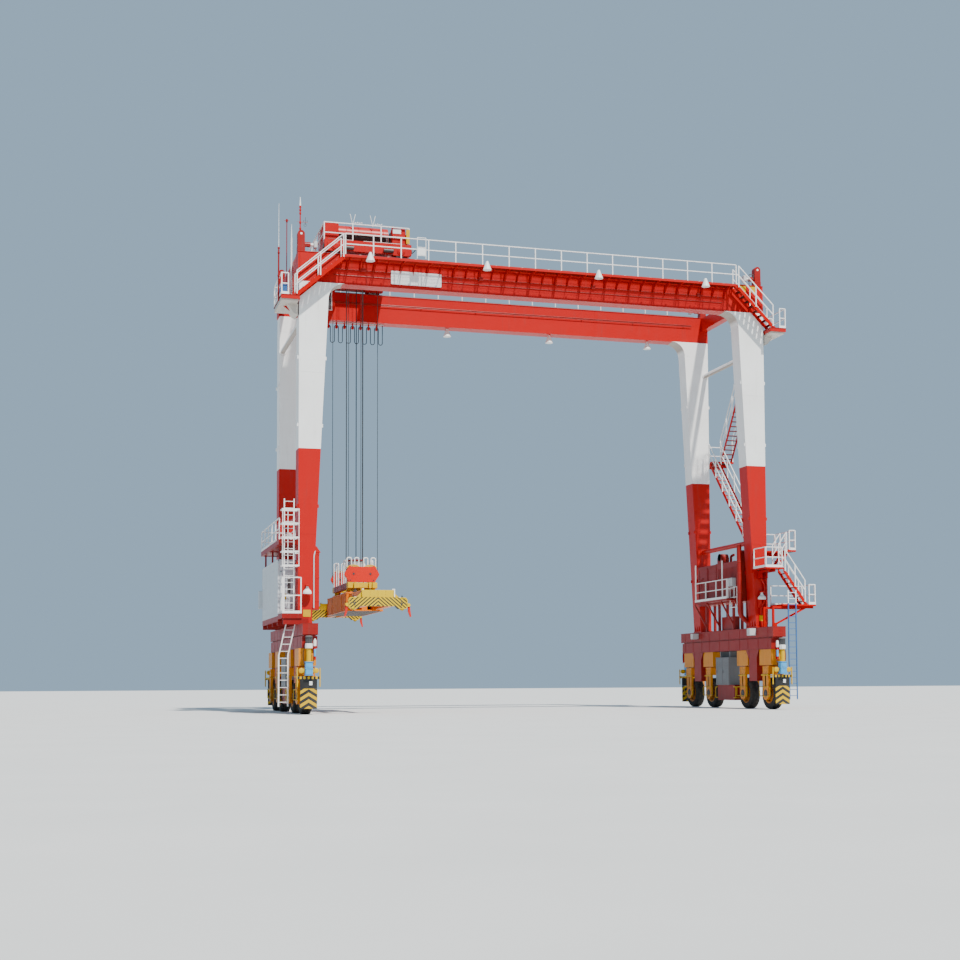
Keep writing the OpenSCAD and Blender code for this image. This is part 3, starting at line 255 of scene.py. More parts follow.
def finishPaint(colour, rough, high, metal=0.0, coat=0.0, strength=0.25):
    tree = colour.id_data
    shader = tree.nodes["Principled BSDF"]
    tree.links.new(colour, shader.inputs["Base Color"])
    tree.links.new(rough, shader.inputs["Roughness"])
    bump = addNode(tree, "ShaderNodeBump", {"Height": high, "Strength": strength, "Distance": 0.01})
    tree.links.new(bump.outputs[0], shader.inputs["Normal"])
    shader.inputs["Metallic"].default_value = metal
    shader.inputs["Specular IOR Level"].default_value = 0.5 if metal else 0.22
    shader.inputs["Coat Weight"].default_value = coat
    shader.inputs["Coat Roughness"].default_value = 0.25


def newPaint(name):
    paints[name] = bpy.data.materials.new(name)
    paints[name].use_nodes = True
    return paints[name].node_tree


def worn(tree, name):
    made = addNode(tree, "ShaderNodeGroup", node_tree=wearGroup)
    for key, value in zip(paintKeys, paintValues[name]):
        if key in ("Paint", "Faded", "Grime"):
            value = (*(value or plainGrime), 1)
        made.inputs[key].default_value = value
    return made.outputs


for paintName in paintValues:
    tree = newPaint(paintName)
    out = worn(tree, paintName)
    finishPaint(out["Color"], out["Roughness"], out["Height"], coat=0.12)


def facingDown(tree, start, end):
    z = axes(tree, normal(tree))["Z"]
    return band(tree, times(tree, z, -1.0), start, end)


def twoTone(name, upper, lower, height, paintedUnderShade=None):
    tree = newPaint(name)
    a, b = worn(tree, upper), worn(tree, lower)
    where = place(tree)
    z = axes(tree, where)["Z"]
    above = maths(tree, "GREATER_THAN", z, height)
    # paintedUnderShade: downward-facing faces of the upper colour mix toward a darker colour, painted shade
    top = mixColour(tree, facingDown(tree, 0.25, 0.5), a["Color"], paintedUnderShade) if paintedUnderShade else a["Color"]
    finishPaint(mixColour(tree, above, b["Color"], top), a["Roughness"], a["Height"], coat=0.12)


whiteFrom = 12.38
# (0.36, 0.31, 0.27) is painted shade on the downward-facing white leg faces
twoTone("legTwoTone", "legWhite", "craneRed", whiteFrom, (0.36, 0.31, 0.27))
twoTone("cabinetTwoTone", "cabinetGrey", "shadeRed", 1.22)


def addPaintedUnderShade(name, source, colour):
    tree = newPaint(name)
    a = worn(tree, source)
    # downward-facing faces mix toward the given dark colour: painted shade on undersides
    finishPaint(mixColour(tree, facingDown(tree, 0.5, 0.9), a["Color"], colour), a["Roughness"], a["Height"])
    tree.nodes["Principled BSDF"].inputs["Specular IOR Level"].default_value = 0.06


def addLadderPaint():
    tree = newPaint("ladderPaint")
    a, b = worn(tree, "railWhite"), worn(tree, "cabinBlue")
    parts = axes(tree, place(tree))
    low = times(tree, maths(tree, "GREATER_THAN", parts["X"], 0.0), maths(tree, "LESS_THAN", parts["Z"], 5.3))
    finishPaint(mixColour(tree, low, a["Color"], b["Color"]), a["Roughness"], a["Height"], coat=0.06)


# the dark colours passed here are painted shade for stair and spreader-frame undersides
addPaintedUnderShade("stairRed", "craneRed", (0.030, 0.012, 0.010))
addPaintedUnderShade("frameShadeOrange", "paintedShadeOrange", (0.045, 0.022, 0.014))
addLadderPaint()


def striped(name, first, second, pitch, lean, blackShare=0.5):
    tree = newPaint(name)
    a, b = worn(tree, first), worn(tree, second)
    where = place(tree)
    parts = axes(tree, where)
    side = maths(tree, "ABSOLUTE", parts["X"])
    level = plus(tree, parts["Z"], times(tree, side, lean)) if lean else parts["X"]
    turn = maths(tree, "FRACT", maths(tree, "DIVIDE", plus(tree, level, 50.0), pitch))
    mark = maths(tree, "LESS_THAN", turn, blackShare)
    finishPaint(mixColour(tree, mark, a["Color"], b["Color"]), a["Roughness"], a["Height"], coat=0.1)


striped("chevronPaint", "guardYellow", "flapBlack", 0.30, 0.62)
striped("dashPaint", "guardYellow", "flapBlack", 0.18, 0.0)
striped("beamStripes", "spreaderYellow", "flapBlack", 0.16, 0.85, 0.45)


def makeMetal(name, colour, rough, metal, scale=30.0, dirt=0.5):
    tree = newPaint(name)
    where = place(tree)
    cloud = noise(tree, where, scale, 6, 0.65)
    spread = band(tree, noise(tree, where, scale / 8, 5), 0.35, 0.7)
    shade = mixColour(tree, times(tree, spread, dirt), colour, [c * 0.35 for c in colour])
    shade = mixColour(tree, times(tree, band(tree, cloud, 0.55, 0.7), 0.5 * dirt), shade,
                      (0.13, 0.055, 0.025))
    rise = plus(tree, rough, times(tree, spread, 0.22), True)
    finishPaint(shade, rise, cloud, metal, 0.0, 0.15)


makeMetal("wornSteel", (0.36, 0.35, 0.34), 0.32, 0.85)
makeMetal("darkSteel", (0.10, 0.10, 0.105), 0.42, 0.7)
makeMetal("ropeSteel", (0.075, 0.07, 0.066), 0.5, 0.6, 60.0, 0.7)
makeMetal("cableSheath", (0.016, 0.016, 0.017), 0.45, 0.0, 25.0, 0.4)


def makeTyre():
    tree = newPaint("dustyRubber")
    where = place(tree)
    cloud = noise(tree, where, 7.0, 7, 0.65)
    fine = noise(tree, where, 70.0, 3)
    dusty = band(tree, cloud, 0.42, 0.72)
    shade = mixColour(tree, times(tree, dusty, 0.5), (0.020, 0.019, 0.019), (0.115, 0.098, 0.08))
    finishPaint(shade, plus(tree, 0.62, times(tree, dusty, 0.25)), fine, 0.0, 0.0, 0.2)


def makeGlass():
    tree = newPaint("cabinPane")
    shader = tree.nodes["Principled BSDF"]
    where = place(tree)
    smear = band(tree, noise(tree, where, 3.0, 5), 0.4, 0.75)
    tree.links.new(mixColour(tree, smear, (0.50, 0.60, 0.62), (0.58, 0.64, 0.63)),
                   shader.inputs["Base Color"])
    tree.links.new(plus(tree, 0.03, times(tree, smear, 0.08)), shader.inputs["Roughness"])
    shader.inputs["Transmission Weight"].default_value = 0.85
    shader.inputs["IOR"].default_value = 1.45


def makeGrating():
    tree = newPaint("deckPlate")
    a = worn(tree, "shadeRed")
    where = place(tree)
    parts = axes(tree, where)
    rows = [maths(tree, "PINGPONG", parts[axis], 0.03) for axis in ("X", "Y")]
    ribs = maths(tree, "MAXIMUM", *[band(tree, row, 0.016, 0.024) for row in rows])
    flat = axes(tree, normal(tree))["Z"]
    # openings between the bars on upward faces mix toward dark: painted shade seen through the grating
    shadedOpenings = times(tree, maths(tree, "SUBTRACT", 1.0, ribs), band(tree, flat, 0.8, 0.95))
    shade = mixColour(tree, times(tree, shadedOpenings, 0.55), a["Color"], (0.05, 0.02, 0.016))
    # downward-facing faces mix toward near-black: painted shade on the deck undersides
    shadedUnderside = band(tree, times(tree, flat, -1.0), 0.5, 0.9)
    finishPaint(mixColour(tree, shadedUnderside, shade, (0.020, 0.016, 0.015)), a["Roughness"], ribs, 0.0, 0.0, 0.4)


makeTyre()
makeGlass()
makeGrating()
print("materials ready:", len(paints))


# mesh helpers
sides = (-1, 1)
corners = [(a, b) for a in sides for b in sides]


def shape(at=None):
    return {"verts": [], "faces": [], "at": at or Matrix()}


def atPortal(side=1, flip=1):
    return Matrix.Translation((portalX, 0, 0)) @ Matrix.Diagonal((side, flip, 1, 1))


def atTrolley(side=1, flip=1):
    return Matrix.Translation((trolleyX, 0, 0)) @ Matrix.Diagonal((side, flip, 1, 1))


def mirrored(shapes, at, xs=(1,), ys=(1,)):
    for s in xs:
        for e in ys:
            for m in shapes:
                m["at"] = at(s, e)
            yield s, e


def put(m, verts, faces, turn=None):
    at = m["at"] @ turn if turn else m["at"]
    start = len(m["verts"])
    m["verts"] += [at @ Vector(v) for v in verts]
    m["faces"] += [[start + i for i in face] for face in faces]


def box(m, lo, hi, cut=0.008, turn=None):
    lo, hi = [min(a, b) for a, b in zip(lo, hi)], [max(a, b) for a, b in zip(lo, hi)]
    cut = min(cut, 0.3 * min(b - a for a, b in zip(lo, hi)))
    verts, faces = [], []
    ends = [(i, j, k) for i in (0, 1) for j in (0, 1) for k in (0, 1)]
    for corner in ends:
        spot = [(lo, hi)[s][n] for n, s in enumerate(corner)]
        step = [cut if s == 0 else -cut for s in corner]
        for keep in range(3):
            verts.append([spot[n] + (0 if n == keep else step[n]) for n in range(3)])
    index = {corner: 3 * n for n, corner in enumerate(ends)}
    for axis in range(3):
        b, c = (axis + 1) % 3, (axis + 2) % 3
        for s in (0, 1):
            ring = []
            for u, v in ((0, 0), (1, 0), (1, 1), (0, 1)):
                corner = [0, 0, 0]
                corner[axis], corner[b], corner[c] = s, u, v
                ring.append(index[tuple(corner)] + axis)
            faces.append(ring)
        for u in (0, 1):
            for v in (0, 1):
                near, far = [0, 0, 0], [0, 0, 0]
                near[b] = far[b] = u
                near[c] = far[c] = v
                far[axis] = 1
                i, j = index[tuple(near)], index[tuple(far)]
                faces.append([i + b, i + c, j + c, j + b])
    for corner in ends:
        faces.append([index[corner], index[corner] + 1, index[corner] + 2])
    put(m, verts, faces, turn)


def along(p, q):
    p, q = Vector(p), Vector(q)
    ahead = (q - p).normalized()
    side = Vector((0, 0, 1)).cross(ahead)
    side = side.normalized() if side.length > 1e-4 else Vector((0, 1, 0))
    over = ahead.cross(side).normalized()
    return Matrix.Translation(p) @ Matrix((ahead, side, over)).transposed().to_4x4()


def fan(start, end, steps, skip=0):
    return [start + (end - start) * k / steps for k in range(skip, steps + 1 - skip)]


def bar(m, p, q, width, height, cut=0.005):
    reach = (Vector(q) - Vector(p)).length
    box(m, (0, -width / 2, -height / 2), (reach, width / 2, height / 2), cut, along(p, q))


def turned(m, profile, p, q, sides=24, ring=False):
    turn = along(p, q)
    verts, faces = [], []
    for t, r in profile:
        for i in range(sides):
            a = 2 * math.pi * i / sides
            verts.append((t, r * math.cos(a), r * math.sin(a)))
    rows = len(profile)
    for j in range(rows if ring else rows - 1):
        k = (j + 1) % rows
        for i in range(sides):
            n = (i + 1) % sides
            faces.append([j * sides + i, j * sides + n, k * sides + n, k * sides + i])
    if not ring:
        faces.append(list(range(sides)))
        faces.append([(rows - 1) * sides + i for i in range(sides)])
    put(m, verts, faces, turn)


def tube(m, p, q, r, sides=12, end=None, cut=0.0):
    reach = (Vector(q) - Vector(p)).length
    last = r if end is None else end
    profile = [(0, r), (reach, last)]
    if cut:
        profile = [(0, r - cut), (cut, r), (reach - cut, last), (reach, last - cut)]
    turned(m, profile, p, q, sides)


def rounded(points, radius, steps=5):
    out = [Vector(points[0])]
    for a, b, c in zip(points, points[1:], points[2:]):
        a, b, c = Vector(a), Vector(b), Vector(c)
        u, v = (a - b).normalized(), (c - b).normalized()
        short = min(radius, 0.45 * (a - b).length, 0.45 * (c - b).length)
        for i in range(steps + 1):
            t = i / steps
            out.append(b + u * short * (1 - t) ** 2 + v * short * t ** 2)
    out.append(Vector(points[-1]))
    return out


def pipe(m, points, r, sides=8):
    points = [Vector(p) for p in points]
    verts, faces = [], []
    side = None
    for i, p in enumerate(points):
        ahead = (points[min(i + 1, len(points) - 1)] - points[max(i - 1, 0)]).normalized()
        if side is None:
            side = ahead.orthogonal().normalized()
        side = (side - ahead * side.dot(ahead)).normalized()
        over = ahead.cross(side)
        for k in range(sides):
            a = 2 * math.pi * k / sides
            verts.append(p + side * r * math.cos(a) + over * r * math.sin(a))
    for i in range(len(points) - 1):
        for k in range(sides):
            n = (k + 1) % sides
            faces.append([i * sides + k, i * sides + n, (i + 1) * sides + n, (i + 1) * sides + k])
    faces.append(list(range(sides)))
    faces.append([(len(points) - 1) * sides + k for k in range(sides)])
    put(m, verts, faces)


def hose(m, points, bend, r, sides=8):
    pipe(m, rounded(points, bend), r, sides)


def slab(m, outline, a, b, axis="y"):
    verts = []
    for depth in (a, b):
        for u, v in outline:
            verts.append({"x": (depth, u, v), "y": (u, depth, v), "z": (u, v, depth)}[axis])
    n = len(outline)
    faces = [list(range(n)), [n + i for i in range(n)]]
    faces += [[i, (i + 1) % n, n + (i + 1) % n, n + i] for i in range(n)]
    put(m, verts, faces)


def bolt(m, spot, out, r=0.022, h=0.018):
    p = Vector(spot)
    turned(m, [(0, r), (h * 0.8, r), (h, r * 0.8)], p, p + Vector(out), 6)


def boltRing(m, centre, out, radius, count, r=0.02, h=0.016):
    turn = along(centre, Vector(centre) + Vector(out))
    for i in range(count):
        a = 2 * math.pi * (i + 0.5) / count
        bolt(m, turn @ Vector((0, radius * math.cos(a), radius * math.sin(a))), out, r, h)


def makePiece(m, name, body, paint, hides=(), pivot=None):
    data = bpy.data.meshes.new(name)
    spot = Vector(pivot or (0, 0, 0))
    data.from_pydata([v - spot for v in m["verts"]], [], m["faces"])
    bm = bmesh.new()
    bm.from_mesh(data)
    bmesh.ops.recalc_face_normals(bm, faces=bm.faces)
    bm.to_mesh(data)
    bm.free()
    data.polygons.foreach_set("use_smooth", [True] * len(data.polygons))
    data.set_sharp_from_angle(angle=0.6)
    data.materials.append(paints[paint])
    obj = bpy.data.objects.new(name, data)
    obj.location = spot
    bpy.context.scene.collection.objects.link(obj)
    if body:
        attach(obj, body)
    if hides:
        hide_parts(*hides)
    return obj


def dress(nodes, paint):
    for node in nodes:
        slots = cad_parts[node].data.materials
        slots.clear()
        slots.append(paints[paint])


girderY, girderHalf = 3.485, 0.36
girderBottom, endX = 20.31, 12.0

dresses = {
    "craneRed": ("front_girder", "rear_girder", "girder_end_ties", "trolley_frame", "machinery_covers",
                 "operator_cabin"),
    "stairRed": ("upper_stairs", "right_stairs"),
    "legTwoTone": ("left_front_leg", "left_rear_leg", "right_front_leg", "right_rear_leg", "leg_tie_tubes"),
    "shadeRed": ("left_sill_beam", "right_sill_beam", "house_frame", "engine_house", "engine_deck"),
    "railWhite": ("upper_railings", "lower_railings", "trolley_railing"),
    "ladderPaint": ("ladders",),
    "lampWhite": ("floodlights",),
    "panelGrey": ("electrical_house",),
    "cabinetTwoTone": ("service_cabinets",),
    "bogieOrange": ("slewing_heads",),
    "wornSteel": ("trolley_rails", "trolley_wheels"),
    "machineDark": ("hoist_machinery",),
    "cabinPane": ("cabin_glazing",),
    # spreader frame: painted shade orange, with painted shade on its underside
    "frameShadeOrange": ("spreader_frame",),
}
for paint, nodes in dresses.items():
    dress(nodes, paint)

# festoon cable, the only free cord
festoon = {"first": -9.68, "last": -6.49, "loops": 8, "drop": 1.1, "diameter": 0.04, "hang": 20.3097,
           "clear": 0.18}


def loopRadius():
    return (festoon["last"] - festoon["first"]) / (4 * festoon["loops"] - 2)


def festoonPath():
    r, hang, last = loopRadius(), festoon["hang"], festoon["loops"] - 1
    low = girderBottom - festoon["drop"] + r
    high = girderBottom - festoon["clear"] - r
    points = [(festoon["first"], hang)]
    for i in range(festoon["loops"]):
        x = festoon["first"] + 4 * r * i
        start, top = high if i else hang, high if i < last else hang
        points += [(x, start + (low - start) * k / 4) for k in range(0 if i else 1, 5)]
        points += [(x + r - r * math.cos(a), low - r * math.sin(a)) for a in fan(0, math.pi, 10, 1)]
        points += [(x + 2 * r, low + (top - low) * k / 4) for k in range(5)]
        if i < last:
            points += [(x + 3 * r - r * math.cos(a), high + r * math.sin(a)) for a in fan(0, math.pi, 10, 1)]
    return [(portalX + x, girderY, z) for x, z in points]


def makeFestoon():
    route = festoonPath()
    m = shape()
    pipe(m, route, festoon["diameter"] / 2, 12)
    cable = makePiece(m, "festoonCable", "portal", "cableSheath", ["festoon_cable"])
    reach = sum((Vector(a) - Vector(b)).length for a, b in zip(route, route[1:]))
    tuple(route[0])
    r = loopRadius()
    m = shape(atPortal())
    box(m, (-9.75, girderY - 0.05, 20.27), (-6.4, girderY - 0.03, girderBottom))
    box(m, (-9.75, girderY + 0.03, 20.27), (-6.4, girderY + 0.05, girderBottom))
    makePiece(m, "festoonTrack", "portal", "zincGrey")
    m = shape(atPortal())
    for i in range(1, festoon["loops"]):
        x = festoon["first"] + 4 * r * i - r
        z = girderBottom - festoon["clear"] - r
        turned(m, [(0, 0.05), (0.02, 0.075), (0.08, 0.075), (0.1, 0.05)], (x, girderY - 0.05, z),
               (x, girderY + 0.05, z), 16)
        for s in sides:
            box(m, (x - 0.03, girderY + s * 0.05, z - 0.07), (x + 0.03, girderY + s * 0.062, 20.285))
    makePiece(m, "festoonCarriers", "portal", "craneRed")


makeFestoon()
print("festoon ready")


# wheels and forks
wheelRows = (-4.81, -2.16, 2.16, 4.81)
wheelX = 11.735
tyre = {"r": 0.8, "lugs": 30}


def makeWheel(side, i):
    centre = (portalX + side * wheelX, wheelRows[i - 1], tyre["r"])
    body = "%s_road_wheel_%d" % ("left" if side < 0 else "right", i)
    name = ("left" if side < 0 else "right") + "Wheel%d" % i
    at = Matrix.Translation(centre)
    m = shape(at)
    half = [(0.0, 0.782), (0.16, 0.780), (0.20, 0.765), (0.238, 0.71), (0.25, 0.63), (0.242, 0.55),
            (0.215, 0.50), (0.19, 0.475)]
    profile = [(-t, r) for t, r in reversed(half)] + half[1:] + [(0.0, 0.46)]
    turned(m, profile, (0, 0, 0), (1, 0, 0), 72, True)
    for n in range(tyre["lugs"]):
        for s in sides:
            a = 2 * math.pi * (n + (0.5 if s > 0 else 0)) / tyre["lugs"]
            lug = Matrix.Rotation(a, 4, "X")
            for lo, hi, top, foot in ((0.02, 0.12, 0.798, 0.77), (0.12, 0.215, 0.793, 0.75)):
                verts = []
                lean = 0.045 if lo > 0.1 else 0.0
                for x, wide, shift in ((lo, 0.062, lean * 0.4), (hi, 0.062, lean)):
                    for z in (foot, top if x < 0.2 else top - 0.022):
                        for y in (-wide, wide):
                            verts.append((s * x, y + shift, math.sqrt(z * z - y * y) if z > abs(y) else z))
                put(m, verts, [(0, 1, 3, 2), (4, 5, 7, 6), (0, 1, 5, 4), (2, 3, 7, 6), (0, 2, 6, 4),
                               (1, 3, 7, 5)], lug)
    makePiece(m, name + "Tyre", body, "dustyRubber",
              ["%s_wheel_%d" % ("left" if side < 0 else "right", i)], centre)
    m = shape(at)
    ring = [(-0.215, 0.475), (-0.222, 0.50), (-0.205, 0.50), (-0.19, 0.47), (0.19, 0.47), (0.205, 0.50),
            (0.222, 0.50), (0.215, 0.475),
            (0.18, 0.44), (0.05, 0.42), (-0.05, 0.42), (-0.18, 0.44)]
    turned(m, ring, (0, 0, 0), (1, 0, 0), 48, True)
    dish = [(-0.12, 0.12), (-0.13, 0.20), (-0.09, 0.26), (-0.05, 0.36), (-0.05, 0.43), (0.05, 0.43),
            (0.05, 0.36), (0.09, 0.26), (0.13, 0.20), (0.12, 0.12)]
    turned(m, dish, (0, 0, 0), (1, 0, 0), 40)
    makePiece(m, name + "Rim", body, "bogieOrange", (), centre)
    m = shape(at)
    turned(m, [(-0.385, 0.10), (-0.38, 0.108), (-0.2, 0.108), (-0.2, 0.15), (0.2, 0.15), (0.2, 0.108),
               (0.38, 0.108), (0.385, 0.10)], (0, 0, 0), (1, 0, 0), 28)
    for s in sides:
        boltRing(m, (s * 0.13, 0, 0), (s, 0, 0), 0.185, 10, 0.018, 0.02)
    makePiece(m, name + "Hub", body, "wornSteel", (), centre)


def makeFork(side, i):
    word = "left" if side < 0 else "right"
    centre = Vector((portalX + side * wheelX, wheelRows[i - 1], 0))
    body = "%s_steering_%d" % (word, i)
    name = "%sFork%d" % (word, i)
    at = Matrix.Translation(centre)
    half, wide, axle = 0.395, 0.345, 0.8
    m = shape(at)
    box(m, (-half, -wide, 1.75), (half, wide, 2.17), 0.02)
    turned(m, [(0, 0.30), (0.028, 0.30), (0.03, 0.15), (0.5, 0.15)], (0, 0, 2.17), (0, 0, 3), 32)
    outline = [(-wide, 1.76),
               (-wide, axle)] + [(wide * math.cos(a), axle + wide * math.sin(a)) for a in fan(math.pi,
                                                                                              2 * math.pi,
                                                                                              12, 1)]
    outline += [(wide, axle), (wide, 1.76)]
    for s in sides:
        slab(m, outline, s * (half - 0.11), s * half, "x")
        box(m, (s * half, -0.06, 1.15), (s * (half - 0.01), 0.06, 1.75), 0.003)
        for y in (-0.30, 0.27):
            box(m, (s * half, y, 0.9), (s * (half + 0.012), y + 0.03, 2.1), 0.003)
    makePiece(m, name + "Body", body, "bogieOrange", ["%s_fork_%d" % (word, i)], centre)
    m = shape(at)
    for s in sides:
        turned(m, [(0, 0.19), (0.012, 0.19), (0.016, 0.18), (0.016, 0.12), (0.002, 0.115)],
               (s * half, 0, axle), (s * 2, 0, axle), 28)
        boltRing(m, (s * (half + 0.014), 0, axle), (s, 0, 0), 0.155, 8, 0.015, 0.01)
        boltRing(m, (s * half, 0, 1.95), (s, 0, 0), 0.14, 6, 0.016, 0.012)
    makePiece(m, name + "Caps", body, "darkSteel", (), centre)
    m = shape(at)
    for s in sides:
        x = s * (half + 0.02)
        hose(m, [(x, -0.405, 1.72), (x, 0.405, 1.72)], 0.05, 0.035, 10)
        x = s * (half + 0.06)
        ring = rounded([(x, 0, 0.66), (x, 0.58, 0.66), (x, 0.58, 1.12), (x, -0.58, 1.12), (x, -0.58, 0.66),
                        (x, 0, 0.66)], 0.05)
        pipe(m, ring, 0.018, 8)
        for y in (-0.28, 0.25):
            box(m, (s * half, y, 1.10), (x, y + 0.03, 1.14), 0.003)
    if i in (1, 4):
        e = -1 if i == 1 else 1
        m["at"] = at @ Matrix.Diagonal((1, -e, 1, 1))
        for s in sides:
            hose(m, [(s * 0.335, -0.325, 1.67), (s * 0.51, -1.07, 1.67)], 0.05, 0.03, 10)
            pipe(m, [(s * 0.51, -1.07, 1.25), (s * 0.51, -1.07, 2.1)], 0.03, 10)
            turned(m, [(0, 0.10), (0.012, 0.12), (0.108, 0.12), (0.12, 0.10)], (s * 0.33, -1.13, 1.98),
                   (s * 0.33, -1.0, 1.98), 28)
            box(m, (s * 0.18, -1.12, 1.90), (s * 0.33, -1.02, 2.06), 0.01)
        turned(m, [(0, 0.15), (0.03, 0.15), (0.035, 0.108), (0.58, 0.108), (0.585, 0.15), (0.62, 0.15)],
               (0, -1.11, 2.38), (0, -1.11, 3), 28)
    makePiece(m, name + "Guards", body, "guardYellow", (), centre)
    if i not in (1, 4):
        return
    over = at @ Matrix.Diagonal((1, -e, 1, 1))
    m = shape(over)
    box(m, (-0.18, -0.93, 1.755), (0.18, -0.34, 2.145), 0.015)
    for s in sides:
        slab(m, [(-0.93, 1.76), (-0.345, 1.76), (-0.345, 1.6)], s * 0.12, s * 0.14, "x")
    makePiece(m, name + "Arm", body, "bogieOrange", (), centre)
    m = shape(over)
    box(m, (-0.165, -1.27, 1.78), (0.165, -0.95, 2.35), 0.03)
    for z in (1.76, 2.06, 2.35):
        box(m, (-0.19, -1.29, z), (0.19, -0.93, z + 0.028), 0.005)
    for x in (-0.1, 0.0, 0.1):
        box(m, (x - 0.01, -1.285, 1.8), (x + 0.01, -1.26, 2.05), 0.003)
    turned(m, [(0, 0.11), (0.02, 0.11), (0.025, 0.07), (0.03, 0.07)], (0, -1.265, 2.2), (0, -1.4, 2.2), 20)
    makePiece(m, name + "Gearbox", body, "driveBlue", (), centre)
    m = shape(over)
    turned(m, [(0, 0.155), (0.02, 0.17), (0.09, 0.17), (0.1, 0.13), (0.46, 0.13), (0.47, 0.17),
               (0.52, 0.168), (0.555, 0.12), (0.56, 0.04)], (0, -1.11, 3.0), (0, -1.11, 4), 28)
    for k in range(24):
        a = 2 * math.pi * k / 24
        bar(m, (0.145 * math.cos(a), -1.11 + 0.145 * math.sin(a), 3.1),
            (0.145 * math.cos(a), -1.11 + 0.145 * math.sin(a), 3.46), 0.03 if k % 2 else 0.008,
            0.008 if k % 2 else 0.03, 0.001)
    makePiece(m, name + "Motor", body, "motorGrey", (), centre)
    m = shape(over)
    box(m, (-0.11, -1.275, 3.0), (0.11, -1.2, 3.19), 0.012)
    box(m, (0.02, -1.13, 1.32), (0.16, -1.08, 1.5), 0.01)
    turned(m, [(0, 0.155), (0.012, 0.172), (0.2, 0.172), (0.215, 0.155)], (0, -1.11, 2.985), (0, -1.11, 4),
           28)
    inner = -side * 0.27
    turned(m, [(0, 0.05), (0.02, 0.07), (0.26, 0.07), (0.30, 0.045), (0.34, 0.04)], (inner, -1.12, 3.08),
           (inner, -1.12, 4), 20)
    makePiece(m, name + "Boxes", body, "lampWhite", (), centre)
    m = shape(over)
    tube(m, (inner, -1.12, 2.62), (inner, -1.12, 2.95), 0.05, 18, cut=0.01)
    makePiece(m, name + "Cylinder", body, "driveBlue", (), centre)
    m = shape(over)
    box(m, (inner - 0.06, -1.06, 2.5), (inner + 0.06, -1.03, 3.1), 0.006)
    box(m, (min(inner, 0), -1.07, 2.95), (max(inner, 0), -1.05, 3.06), 0.006)
    tube(m, (inner, -1.12, 2.95), (inner, -1.12, 3.08), 0.03, 14)
    tube(m, (inner, -1.12, 2.45), (inner, -1.12, 2.62), 0.03, 14)
    makePiece(m, name + "Bracket", body, "craneRed", (), centre)
    m = shape(over)
    box(m, (-0.38, -1.09, 0.27), (0.38, -1.05, 1.17), 0.006)
    makePiece(m, name + "Chevron", body, "chevronPaint", (), centre)
    m = shape(over)
    box(m, (-0.38, -1.085, 1.175), (0.38, -1.055, 1.6), 0.006)
    hose(m, [(0.17, -1.04, 3.1), (0.24, -1.0, 2.7), (0.22, -0.98, 2.3), (0.15, -0.9, 2.16)], 0.12, 0.018)
    hose(m, [(-0.17, -1.04, 3.1), (-0.25, -1.0, 2.75), (-0.2, -0.9, 2.4), (-0.1, -0.8, 2.15)], 0.12, 0.014)
    makePiece(m, name + "Flap", body, "flapBlack", (), centre)
    m = shape(over)
    box(m, (-0.54, -1.10, 1.6), (0.54, -1.04, 1.72), 0.008)
    makePiece(m, name + "Band", body, "dashPaint", (), centre)


for side in sides:
    for i in (1, 2, 3, 4):
        makeWheel(side, i)
        makeFork(side, i)
print("wheels and forks ready")


# hoist ropes, head block and spreader
loadGear = {"lockZ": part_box("front_telescope")[0].z, "sheaveZ": 6.67, "sheaveR": 0.36, "gap": 0.41,
            "blockY": 2.0,
            "lock": (1.1295, 5.9925), "endHalf": 1.3695, "tubY": -0.45, "drumZ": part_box("hoist_ropes")[1].z}


def makeRopes():
    tubY = loadGear["tubY"]
    m = shape(atTrolley())
    for s, e in corners:
        for f in sides:
            x = s * loadGear["gap"] + f * loadGear["sheaveR"]
            steps = [loadGear["sheaveZ"] + 0.0003 + (loadGear["drumZ"] - loadGear["sheaveZ"]) * k / 12 for k in range(13)]
            pipe(m, [(x, e * loadGear["blockY"], z) for z in steps], 0.014, 8)
    ropes = makePiece(m, "hoistRopes", None, "ropeSteel", ["hoist_ropes"])
    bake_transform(ropes)
    m = shape(atTrolley())
    turns = [2 * math.pi * k / 14 for k in range(57)]
    path = [(0.25 * math.cos(a), tubY + 0.25 * math.sin(a), 6.294 + 0.046 * a / (2 * math.pi)) for a in turns]
    path += [(0.16, -0.42, 6.56), (0.05, -0.44, 6.8),
             (0, tubY, 7.1)] + [(0, tubY, 7.35 + 14.5 * k / 12) for k in range(13)]
    path += [(0, -0.47, 21.96), (0, -0.56, 22.03), (0, -0.655, 22.056)]
    pipe(m, path, 0.022, 10)
    feed = makePiece(m, "spreaderCable", None, "cableSheath")
    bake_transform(feed)


